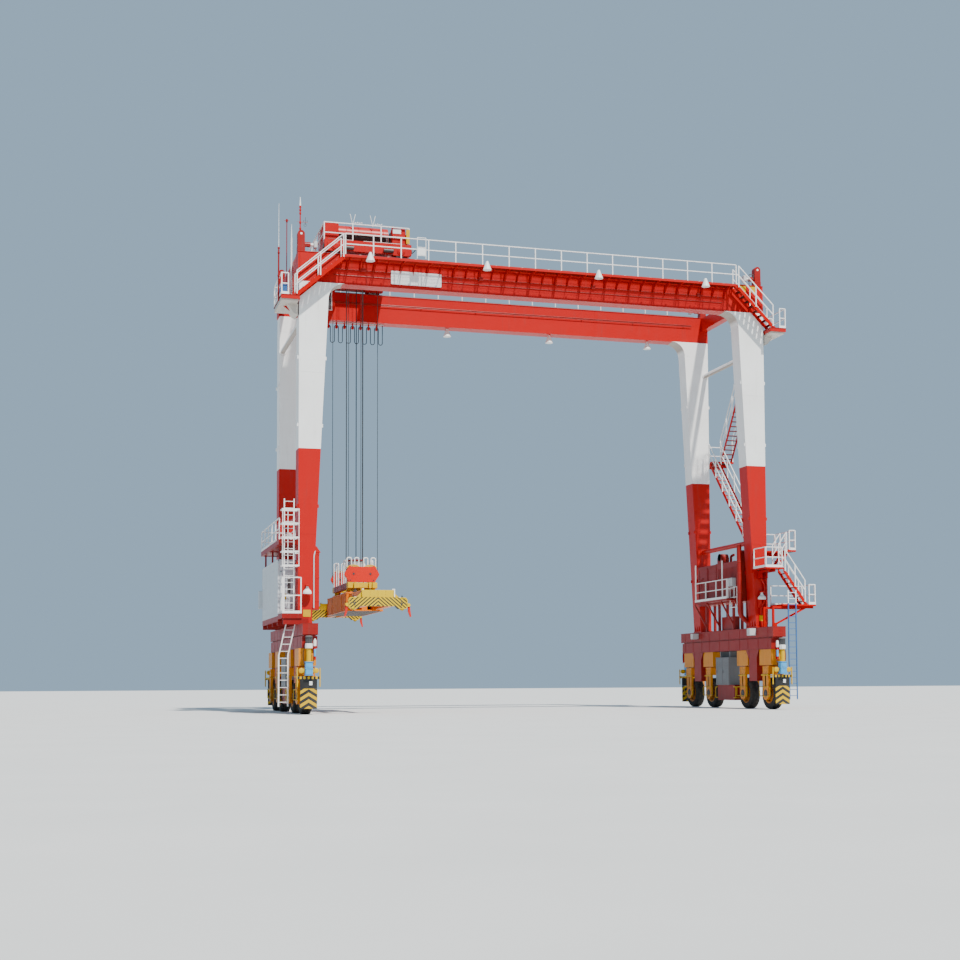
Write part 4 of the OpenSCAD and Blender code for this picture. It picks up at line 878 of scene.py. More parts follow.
def makeHeadBlock():
    gap, tubY = loadGear["gap"], loadGear["tubY"]
    z0, r = loadGear["sheaveZ"], loadGear["sheaveR"]
    m = shape(atTrolley())
    hexagon = [(-0.85, -0.02), (-0.80, -0.12), (-0.62, -0.39), (0.62, -0.39), (0.80, -0.12), (0.85, -0.02),
               (0.80, 0.10), (0.62, 0.39), (0.42, 0.345), (-0.42, 0.345), (-0.62, 0.39), (-0.80, 0.10)]
    for e, f in corners:
        y = e * loadGear["blockY"] + f * 0.075
        slab(m, [(x, z0 + z) for x, z in hexagon], y - 0.015, y + 0.015)
    makePiece(m, "blockPlates", "load_gear", "plateScarlet", ["head_block"])
    m = shape(atTrolley())
    for e, s in corners:
        centre = (s * gap, e * loadGear["blockY"], z0)
        groove = [(-0.045, r + 0.02), (-0.04, r + 0.025), (-0.034, r + 0.025), (-0.014, r - 0.014),
                  (0.014, r - 0.014), (0.034, r + 0.025), (0.04, r + 0.025), (0.045, r + 0.02),
                  (0.045, r - 0.06), (0.02, r - 0.07), (0.02, 0.12), (-0.02, 0.12), (-0.02, r - 0.07),
                  (-0.045, r - 0.06)]
        turned(m, groove, centre, (centre[0], centre[1] + 1, z0), 40, True)
        turned(m, [(-0.055, 0.11), (-0.055, 0.13), (0.055, 0.13), (0.055, 0.11)], centre,
               (centre[0], centre[1] + 1, z0), 24)
    for s in sides:
        box(m, (s * 0.48, -2.25, z0 - 0.70), (s * 0.72, 2.25, z0 - 0.42), 0.015)
        for e in sides:
            box(m, (s * 0.6 - 0.09, e * 1.7 - 0.09, loadGear["lockZ"] + 1.1303),
                (s * 0.6 + 0.09, e * 1.7 + 0.09, z0 - 0.69), 0.01)
            slab(m, [(s * 0.50, z0 - 0.43), (s * 0.70, z0 - 0.43), (s * 0.56, z0 - 0.30),
                     (s * 0.50, z0 - 0.30)], e * 2.0 - 0.055, e * 2.0 + 0.055)
    for y in (-2.0, 0.0, 2.0):
        box(m, (-0.5, y - 0.15, z0 - 0.68), (0.5, y + 0.15, z0 - 0.42), 0.012)
    for e in sides:
        for k in (-0.42, 0.30):
            box(m, (k, e * 2.15, z0 - 0.70), (k + 0.12, e * 2.28, z0 - gap), 0.006)
    makePiece(m, "blockFrame", "load_gear", "spreaderYellow")
    m = shape(atTrolley())
    for s in sides:
        box(m, (s * 0.475, -1.84, z0 - 0.705), (s * 0.726, 1.84, z0 - 0.415), 0.012)
        for y in (-1.2, -0.6, 0.6, 1.2):
            box(m, (s * 0.724, y, z0 - 0.70), (s * 0.736, y + 0.03, z0 - 0.42), 0.003)
    turned(m, [(0, 0.352), (0, 0.40), (0.02, gap), (0.07, gap), (0.07, 0.352)], (0, tubY, z0 + 0.735),
           (0, tubY, z0 + 2), 32, True)
    makePiece(m, "blockSides", "load_gear", "shadeRed")
    m = shape(atTrolley())
    for e, s in corners:
        arc = fan(math.radians(43), math.radians(137), 10)
        ring = [(s * gap + 0.455 * math.cos(a), z0 + 0.455 * math.sin(a)) for a in arc]
        ring += [(s * gap + 0.405 * math.cos(a), z0 + 0.405 * math.sin(a)) for a in reversed(arc)]
        slab(m, ring, e * 2.0 - 0.058, e * 2.0 + 0.058)
    makePiece(m, "ropeGuards", "load_gear", "guardYellow")
    m = shape(atTrolley())
    for e, s in corners:
        tube(m, (s * 0.36, e * 2.2, 5.83), (s * 0.36, e * 2.2, z0 - 0.69), 0.06, 16, cut=0.01)
        box(m, (s * 0.36 - 0.1, e * 2.13, 5.711), (s * 0.36 + 0.1, e * 2.27, 5.85), 0.012)
    makePiece(m, "blockShackles", "load_gear", "machineDark")
    m = shape(atTrolley())
    for e, s in corners:
        tube(m, (s * gap, e * 2.0 - 0.1, z0), (s * gap, e * 2.0 + 0.1, z0), 0.055, 20, cut=0.008)
        boltRing(m, (s * gap, e * 2.09, z0), (0, e, 0), 0.085, 6, 0.012, 0.012)
        bolt(m, (s * 0.56, e * 2.09, z0 - 0.30), (0, e, 0), 0.03, 0.02)
    makePiece(m, "blockPins", "load_gear", "darkSteel")
    m = shape(atTrolley())
    for e, s in corners:
        for x0, x1 in ((0.12, 0.32), (0.48, 0.70)):
            hose(m, [(s * x0, e * 1.86, z0 - 0.42), (s * x0, e * 1.86, z0 + 0.80),
                     (s * x1, e * 1.86, z0 + 0.80), (s * x1, e * 1.86, z0 - 0.42)], 0.10, 0.032, 10)
        hose(m, [(s * 0.66, e * 1.35, z0 - 0.42), (s * 0.66, e * 1.35, z0 + 0.72),
                 (s * 0.66, e * 0.75, z0 + 0.72), (s * 0.66, e * 0.75, z0 - 0.42)], 0.12, 0.032, 10)
    makePiece(m, "pipeGuards", "load_gear", "railWhite")
    m = shape(atTrolley())
    foot, rim, r1 = z0 - 0.43, z0 + 0.81, 0.35
    turned(m, [(0, r1), (0.02, r1), (1.24, r1), (1.24, r1 - 0.03), (0.03, r1 - 0.03), (0.03, 0.02),
               (0, 0.02)], (0, tubY, foot), (0, tubY, rim), 32, True)
    for z in (foot + 0.3, foot + 0.7, foot + 1.08):
        turned(m, [(-0.02, r1 + 0.001), (-0.015, r1 + 0.012), (0.015, r1 + 0.012), (0.02, r1 + 0.001)],
               (0, tubY, z), (0, tubY, z + 1), 32, True)
    for k in range(16):
        a = 2 * math.pi * k / 16
        box(m, (r1, -0.012, 0.05), (r1 + 0.01, 0.012, 1.2), 0.002,
            Matrix.Translation((0, tubY, foot)) @ Matrix.Rotation(a, 4, "Z"))
    makePiece(m, "cableTub", "load_gear", "zincGrey")


makeRopes()
makeHeadBlock()


def makeSpreader():
    (lockX, lockY), endHalf = loadGear["lock"], loadGear["endHalf"]
    z = loadGear["lockZ"]
    m = shape(atTrolley())
    for s, e in mirrored([m], atTrolley, ys=sides):
        for s in sides:
            for y in (1.36, 2.68):
                box(m, (s * 0.878, y, z + 0.17), (s * 0.896, y + 0.04, z + 1.01), 0.004)
            for h in (0.15, 1.0):
                box(m, (s * 0.84, 0, z + h), (s * 0.91, 2.76, z + h + 0.03), 0.006)
            for x in (0.455, 0.735):
                box(m, (s * x, 1.38, z + 1.02), (s * (x + 0.012), 2.02, z + 1.127), 0.004)
            tube(m, (s * 0.6, 2.35, z + 1.02), (s * 0.6, 2.35, z + 1.10), 0.07, 16, cut=0.01)
        box(m, (-0.90, 2.69, z + 0.97), (0.90, 2.765, z + 1.045), 0.012)
    makePiece(m, "spreaderRibs", "load_gear", "paintedShadeOrange")
    m = shape(atTrolley())
    box(m, (-0.34, -0.89, z + 1.08), (0.34, 0.89, z + 1.12), 0.01)
    for y in (-0.75, -0.35, 0.1, 0.55):
        for s in sides:
            box(m, (s * 0.352, y, z + 1.03), (s * 0.366, y + 0.3, z + 1.08), 0.004)
    makePiece(m, "powerPack", "load_gear", "shadeRed")
    m = shape(atTrolley())
    for y in (-0.6, -0.2, 0.25, 0.62):
        tube(m, (0.1, y, z + 1.12), (0.1, y, z + 1.24), 0.06, 16, cut=0.01)
    box(m, (-0.28, -0.5, z + 1.12), (-0.05, 0.5, z + 1.25), 0.02)
    makePiece(m, "powerPackValves", "load_gear", "zincGrey")
    m = shape(atTrolley())
    for e in sides:
        for x in (-0.2, -0.1, 0.0, 0.12):
            route = [(x, 0.89, 1.06), (x + 0.02, 1.1, 1.10), (x * 1.6, 1.5, 1.05), (x * 2.0, 1.9, 1.04),
                     (x * 2.2, 2.64, 1.04)]
            hose(m, [(p[0], e * p[1], z + p[2]) for p in route], 0.2, 0.014)
    makePiece(m, "spreaderHoses", "load_gear", "cableSheath")
    for e, word, lane in ((-1, "front", 0.62), (1, "rear", 0.27)):
        body = word + "_slide"
        y0, y1 = 5.8825, 6.1025
        m = shape(atTrolley(1, e))
        outline = [(-endHalf, 0.20), (-1.30, 0.10), (-0.92, 0.10), (-0.80, 0.22), (0.80, 0.22), (0.92, 0.10),
                   (1.30, 0.10), (endHalf, 0.20)]
        outline += [(endHalf, 0.52), (1.29, 0.62), (-1.29, 0.62), (-endHalf, 0.52)]
        slab(m, [(x, z + h) for x, h in outline], y0 + 0.012, y1 - 0.012)
        makePiece(m, word + "EndBeam", body, "beamStripes", [word + "_telescope"],
                  (trolleyX, 0, z))
        m = shape(atTrolley(1, e))
        for s in sides:
            box(m, (s * lane - 0.13, 1.2501, z + 0.22), (s * lane + 0.13, y0 + 0.02, z + 0.96), 0.012)
        makePiece(m, word + "Beams", body, "paintedShadeOrange")
        m = shape(atTrolley(1, e))
        box(m, (-0.75, y0, z + 0.61), (0.75, 6.0525, z + 0.96), 0.015)
        for x in (-0.752, 0.722):
            box(m, (x, y0 + 0.01, z + 0.62), (x + 0.03, 6.07, z + 0.95), 0.006)
        for x in (-0.36, 0.0, 0.36):
            box(m, (x - 0.01, 6.05, z + 0.62), (x + 0.01, 6.06, z + 0.94), 0.002)
        makePiece(m, word + "HeadPlate", body, "spreaderYellow")
        m = shape(atTrolley(1, e))
        for x in (-0.74, 0.66):
            box(m, (x, 6.0, z + 0.961), (x + 0.09, 6.05, z + 1.02), 0.012)
        box(m, (e * -0.755 - 0.02, 6.045, z + 0.64), (e * -0.755 + 0.035, 6.075, z + 1.02), 0.008)
        makePiece(m, word + "Marks", body, "railWhite")
        m = shape(atTrolley(1, e))
        for s in sides:
            rim = [(1.02, 0.10), (1.30, 0.10), (endHalf, 0.20), (endHalf, 0.52), (1.29, 0.62), (1.02, 0.62),
                   (1.02, 0.58), (1.27, 0.58), (1.33, 0.50), (1.33, 0.22), (1.28, 0.14), (1.02, 0.14)]
            for y in (y0, y1 - 0.014):
                slab(m, [(s * x, z + h) for x, h in rim], y, y + 0.014)
            box(m, (s * 1.02, y0 + 0.01, z + 0.61), (s * 1.28, y1 - 0.01, z + 0.62), 0.003)
            turned(m, [(0, 0.09), (0.05, 0.09), (0.055, 0.05), (0.07, 0.05)], (s * lockX, lockY, z + 0.10),
                   (s * lockX, lockY, 3), 20)
            for k in (-0.095, 0.095):
                slab(m, [(s * 1.36, z + 0.20), (s * 1.46, z + 0.20), (s * 1.4995, z + 0.25),
                         (s * 1.4995, z + 0.31), (s * 1.46, z + 0.36), (s * 1.36, z + 0.36)],
                         lockY + k - 0.015, lockY + k + 0.015)
            slab(m, [(s * 0.75, z + 0.62), (s * 1.0, z + 0.62), (s * 0.75, z + 0.86)], 5.95, 5.97)
        makePiece(m, word + "Corners", body, "spreaderYellow")
        m = shape(atTrolley(1, e))
        for s in sides:
            turned(m, [(0, 0.0275), (0.04, 0.0275), (0.06, 0.0265), (0.10, 0.012)],
                   (s * lockX, lockY, z + 0.10), (s * lockX, lockY, 3), 20)
            for x in (1.13, 1.24):
                tube(m, (s * x, y1 - 0.03, z + 0.36), (s * x, y1 - 0.01, z + 0.36), 0.035, 14)
            box(m, (s * 1.05, y1 - 0.02, z + 0.22), (s * 1.09, y1 - 0.008, z + 0.5), 0.004)
            turned(m, [(0, 0.05), (0.02, 0.05), (0.025, 0.03), (0.09, 0.03)], (s * lockX, lockY, z + 0.62),
                   (s * lockX, lockY, 9), 16)
        makePiece(m, word + "Locks", body, "darkSteel")
        m = shape(atTrolley(1, e))
        for x in (-0.62, -0.42, 0.42, 0.62):
            tube(m, (x, 6.0, z + 0.62), (x, 6.0, z + 0.70), 0.02, 10)
        hose(m, [(-1.1, 5.95, z + 0.635), (1.1, 5.95, z + 0.635)], 0.1, 0.013)
        makePiece(m, word + "Sensors", body, "lampWhite")
    for word, s, e in (("left_front", -1, -1), ("right_front", 1, -1), ("left_rear", -1, 1),
                       ("right_rear", 1, 1)):
        pin = Vector((trolleyX + s * 1.4395, e * lockY, z + 0.28))
        label = word.replace("_f", "F").replace("_r", "R")
        m = shape(Matrix.Translation(pin) @ Matrix.Diagonal((s, e, 1, 1)))
        tube(m, (0, -0.072, 0), (0, 0.072, 0), 0.045, 20, cut=0.006)
        slab(m, [(-0.045, 0.0), (0.05, 0.0), (0.065, -0.26), (0.11, -0.53), (0.062, -0.55), (-0.03, -0.30)],
             -0.07, 0.07)
        box(m, (0.045, -0.012, -0.27), (0.064, 0.012, -0.05), 0.003)
        makePiece(m, label + "Flipper", word + "_guide_arm", "plateScarlet",
                  [word + "_flipper"], pin)
        m = shape(Matrix.Translation(pin) @ Matrix.Diagonal((s, e, 1, 1)))
        tube(m, (0, -0.108, 0), (0, 0.108, 0), 0.02, 16, cut=0.003)
        makePiece(m, label + "Pin", word + "_guide_arm", "darkSteel", (), pin)


makeSpreader()
print("load gear ready")


# girders, their walkways and end stops
girderTrim = {"seam": 2.44, "gusset": 0.65, "board": (-7.54, -5.08, 20.47, 21.12), "conduits": (20.74, 21.02)}


def makeGirderTrim():
    m = shape()
    for s, e in mirrored([m], atPortal, ys=sides):
        for z in (20.304, 21.737):
            box(m, (-endX, girderY - girderHalf - 0.022, z), (endX, girderY + girderHalf + 0.022, z + 0.027),
                0.003)
        for k in range(-4, 5):
            x = k * girderTrim["seam"] + 0.4
            for y in (girderY - girderHalf - 0.004, girderY + girderHalf - 0.004):
                box(m, (x - 0.009, y, 20.33), (x + 0.009, y + 0.008, 21.74), 0.002)
        for k in range(31):
            x = -9.7 + k * girderTrim["gusset"]
            slab(m, [(3.848, 21.418), (4.56, 21.418), (4.56, 21.36), (4.1, 21.2), (3.848, 20.90)], x - 0.006,
                 x + 0.006, "x")
        for x in (-11.9, 11.9):
            box(m, (x - 0.015, girderY - 0.30, 20.36), (x + 0.015, girderY + 0.378, 21.70), 0.003)
    makePiece(m, "girderSeams", "portal", "craneRed")
    m = shape()
    for s, e in mirrored([m], atPortal, ys=sides):
        for z in girderTrim["conduits"]:
            pipe(m, [(-10.3 + k, 3.868, z) for k in range(21)], 0.017, 8)
        for x in (-8.9, -3.1, 2.7, 8.4):
            hose(m, [(x, 3.868, 21.02), (x, 3.868, 21.4), (x, 4.4, 21.4)], 0.06, 0.014)
            box(m, (x - 0.11, 3.85, 20.95), (x + 0.11, 3.93, 21.14), 0.01)
        for y in (3.10, 3.06):
            pipe(m, [(-11.0 + k, y, 21.2 + (y - 3.06) * 2) for k in range(23)], 0.015, 8)
        for k in range(8):
            box(m, (-10.5 + 3 * k, 3.05, 21.17), (-10.46 + 3 * k, 3.126, 21.23), 0.003)
    makePiece(m, "girderConduits", "portal", "shadeRed")
    x0, x1, z0, z1 = girderTrim["board"]
    m = shape(atPortal(1, -1))
    box(m, (x0, 3.87, z0), (x1, 3.89, z1), 0.004)
    for z in (z0, z1 - 0.03):
        box(m, (x0 - 0.01, 3.885, z), (x1 + 0.01, 3.896, z + 0.03), 0.003)
    for x in (x0 - 0.01, x1 - 0.02):
        box(m, (x, 3.885, z0), (x + 0.03, 3.896, z1), 0.003)
    makePiece(m, "signBoard", "portal", "lampWhite")
    m = shape(atPortal(1, -1))
    for x in (10.72, 11.30):
        box(m, (x, 3.845, 21.40), (x + 0.33, 3.857, 21.70), 0.003)
    box(m, (-11.72, 3.937, 4.49), (-11.36, 3.95, 4.82), 0.003)
    box(m, (11.48, 3.937, 4.46), (11.80, 3.95, 4.74), 0.003)
    makePiece(m, "barePlates", "portal", "guardYellow")
    m = shape()
    for s, e in mirrored([m], atPortal, ys=sides):
        for x in (-9.86, 10.17):
            box(m, (x, 3.87, 21.555), (x + 0.012, 4.58, 21.665), 0.002)
        for k in range(15):
            x = -9.2 + k * 1.33
            box(m, (x, 4.54, 21.551), (x + 0.09, 4.60, 21.562), 0.002)
    makePiece(m, "walkwayEnds", "portal", "railWhite")
    m = shape(atPortal(1, -1))
    for x in (-6.42, -6.0):
        tube(m, (x, 4.60, 21.6), (x, 4.60, 22.62), 0.018, 10)
    for z in (21.75, 22.15, 22.62):
        tube(m, (-6.42, 4.60, z), (-6.0, 4.60, z), 0.015, 10)
    slab(m, [(-6.40, 21.78), (-6.02, 21.78), (-6.02, 22.12), (-6.40, 22.12)], 4.595, 4.605)
    makePiece(m, "walkwayGate", "portal", "railWhite")
    m = shape(atPortal(1, -1))
    hose(m, [(11.28, 3.76, 21.762), (11.28, 3.76, 22.36), (11.52, 3.76, 22.36), (11.52, 3.76, 22.12)], 0.07,
         0.022, 10)
    turned(m, [(0, 0.05), (0.02, 0.05)], (11.28, 3.76, 21.762), (11.28, 3.76, 22), 16)
    makePiece(m, "stopHandle", "portal", "machineDark")


walkway = {"ends": (-9.9, 10.2), "pitch": 0.04, "bar": 0.006, "rods": (3.98, 4.1, 4.22, 4.34, 4.46),
           "brackets": 16,
           "platform": (12.005, 12.885, 19.39, 19.45), "front": -4.645, "deck": 21.55}


def makeWalkways():
    near, far, low, top = walkway["platform"]
    front, deck = walkway["front"], walkway["deck"]
    x0, x1 = walkway["ends"]
    m = shape()
    for s, e in mirrored([m], atPortal, ys=sides):
        box(m, (x0, 4.585, 21.43), (x1, 4.605, deck), 0.003)
        box(m, (x0, 3.8453, 21.48), (x1, 3.86, deck), 0.003)
        for x in (x0, x1 - 0.012):
            box(m, (x, 3.86, 21.48), (x + 0.012, 4.585, deck), 0.003)
        for k in range(walkway["brackets"]):
            x = x0 + 0.32 + k * (x1 - x0 - 0.6) / (walkway["brackets"] - 1)
            box(m, (x - 0.03, 3.8453, 21.42), (x + 0.03, 4.585, 21.498), 0.006)
    for s, e in mirrored([m], atPortal, xs=sides):
        box(m, (near, front, 19.25), (12.065, -1.9, low), 0.005)
        box(m, (12.065, front, 19.25), (far, -4.585, low), 0.005)
        box(m, (11.9503, -3.585, 19.19), (12.065, -3.385, 19.389), 0.005)
        slab(m, [(12.803, low), (12.849, 19.328), (12.034, 18.718), (12.001, 18.78)], -3.515, -3.455)
        box(m, (11.9503, -3.545, 18.65), (12.03, -3.425, 18.85), 0.005)
    makePiece(m, "walkwayFrames", "portal", "craneRed", ["upper_walkways"])
    m = shape()
    for s, e in mirrored([m], atPortal, ys=sides):
        for k in range(int((x1 - x0) / walkway["pitch"])):
            x = x0 + (k + 0.5) * walkway["pitch"]
            slab(m, [(x, 3.86), (x + walkway["bar"], 3.86), (x + walkway["bar"], 4.585), (x, 4.585)], 21.515,
                 21.548, "z")
        for y in walkway["rods"]:
            slab(m, [(x0, y), (x1, y), (x1, y + 0.006), (x0, y + 0.006)], 21.54, 21.5495, "z")
    makePiece(m, "walkwayGrating", "portal", "shadeRed")
    m = shape()
    for s, e in mirrored([m], atPortal, xs=sides):
        box(m, (near, front, low), (far, -1.9, top), 0.005)
    m["at"] = atPortal()
    box(m, (far, -2.6, low), (13.235, -1.3, top), 0.005)
    box(m, (near, -1.9, low), (far, -1.3, top), 0.005)
    makePiece(m, "endPlatforms", "portal", "deckPlate")


def makeEndStops():
    bufferZ, rodZ = 22.19, 22.66
    red, white, grey = shape(), shape(), shape()
    for s, e in corners:
        at = atPortal(s, 1) @ Matrix.Translation((0, e * girderY, 0))
        red["at"] = white["at"] = grey["at"] = at
        box(red, (11.65, -0.18, 21.76), (11.985, 0.18, 22.62), 0.01)
        arch = [(11.65, 22.61)] + [(11.8175 - 0.1675 * math.cos(a),
                                    rodZ + 0.1675 * math.sin(a)) for a in fan(0, math.pi, 12)] + [(11.985,
                                                                                                   22.61)]
        slab(red, arch, -0.17, 0.17)
        for y in (-0.19, 0.17):
            box(red, (11.64, y, 21.765), (11.99, y + 0.02, 22.05), 0.004)
        tube(red, (11.66, 0, bufferZ), (11.36, 0, bufferZ), 0.105, 20, cut=0.01)
        box(red, (11.37, -0.09, 22.09), (11.66, 0.09, 22.29), 0.01)
        tube(white, (11.37, 0, bufferZ), (11.20, 0, bufferZ), 0.075, 20)
        tube(white, (11.8175, -0.182, rodZ), (11.8175, 0.182, rodZ), 0.055, 18, cut=0.004)
        box(grey, (11.045, -0.15, 22.04), (11.21, 0.15, 22.34), 0.02)
        boltRing(grey, (11.985, 0, 22.2), (1, 0, 0), 0.12, 6, 0.014, 0.012)
    makePiece(red, "stopPosts", "portal", "postRed", ["end_stop_posts"])
    makePiece(white, "stopRods", "portal", "lampWhite")
    makePiece(grey, "stopBuffers", "portal", "zincGrey")


def makeMasts():
    outer = 12.885
    white, dark, banded, small = shape(atPortal()), shape(atPortal()), shape(atPortal()), shape(atPortal())
    tube(white, (-outer - 0.04, -4.0, 21.55), (-outer - 0.04, -4.0, 23.9), 0.016, 10, 0.008)
    tube(dark, (-outer - 0.04, -4.0, 19.25), (-outer - 0.04, -4.0, 21.7), 0.036, 14)
    for z in (21.5, 21.72, 20.4):
        tube(dark, (-outer - 0.04, -4.0, z), (-outer - 0.04, -4.0, z + 0.09), 0.055, 14, cut=0.01)
    tube(dark, (-outer + 0.6, -2.01, 19.452), (-outer + 0.6, -2.01, 23.7), 0.022, 12)
    tube(dark, (-outer + 0.6, -2.01, 23.66), (-outer + 0.6, -2.01, 23.81), 0.05, 12, cut=0.01)
    tube(dark, (-outer + 0.47, -2.01, 23.75), (-outer + 0.73, -2.01, 23.75), 0.014, 8)
    tube(white, (-outer + 0.83, -2.01, 19.452), (-outer + 0.83, -2.01, 22.9), 0.045, 14, 0.04)
    tube(white, (-outer + 0.83, -2.01, 22.85), (-outer + 0.83, -2.01, 23.59), 0.03, 12, 0.01)
    box(dark, (-outer - 0.065, -4.02, 19.29), (-outer - 0.001, -3.98, 19.43), 0.006)
    tube(banded, (-11.85, -girderY, 22.82), (-11.85, -girderY, 24.05), 0.028, 14)
    for z in (22.88, 23.18, 23.62, 23.78, 23.93):
        tube(banded, (-11.85, -girderY, z), (-11.85, -girderY, z + 0.1), 0.05, 14, cut=0.012)
    tube(white, (-11.85, -girderY, 24.04), (-11.85, -girderY, 24.47), 0.042, 14, 0.012)
    tube(dark, (-11.99, -girderY, 23.26), (-11.5, -girderY, 23.26), 0.012, 8)
    turned(small, [(-0.01, 0.07), (0.01, 0.07), (0.01, 0.055), (-0.01, 0.055)],
           (-11.62, -girderY - 0.02, 23.12), (-11.62, -girderY - 1, 23.12), 18, True)
    tube(small, (-11.6, -girderY, 23.16), (-11.6, -girderY, 23.5), 0.012, 8)
    for x in (-11.68, -11.52):
        tube(small, (x, -girderY, 23.26), (x, -girderY, 23.36), 0.012, 8)
    makePiece(white, "mastTips", "portal", "railWhite", ["masts"])
    makePiece(dark, "mastTubes", "portal", "shadeRed")
    makePiece(banded, "windMast", "portal", "craneRed")
    makePiece(small, "windGauge", "portal", "motorGrey")
    m = shape(atPortal())
    box(m, (-12.66, -2.58, 19.453), (-12.32, -2.28, 20.42), 0.02)
    box(m, (-12.69, -2.6, 20.40), (-12.29, -2.26, 20.45), 0.01)
    makePiece(m, "blueCabinet", "portal", "cabinBlue")
    m = shape()
    for s, e in mirrored([m], atPortal, xs=sides):
        box(m, (12.06, -4.56, 19.17), (12.86, -2.0, 19.388), 0.01)
        slab(m, [(12.005, 19.19), (12.5, 19.19), (12.2, 18.75), (12.005, 18.66)], -3.95, -3.02)
    makePiece(m, "platformSoffits", "portal", "soffitGrey")


makeGirderTrim()
makeWalkways()
makeEndStops()
makeMasts()
print("girder details ready")

# legs and sills
legTrim = {"foot": (11.31, 4.18), "head": (10.56, 19.53), "lugs": (6.9, 9.6, 13.4, 16.6)}


def legInner(z):
    (x0, z0), (x1, z1) = legTrim["foot"], legTrim["head"]
    return x0 + (x1 - x0) * (z - z0) / (z1 - z0)


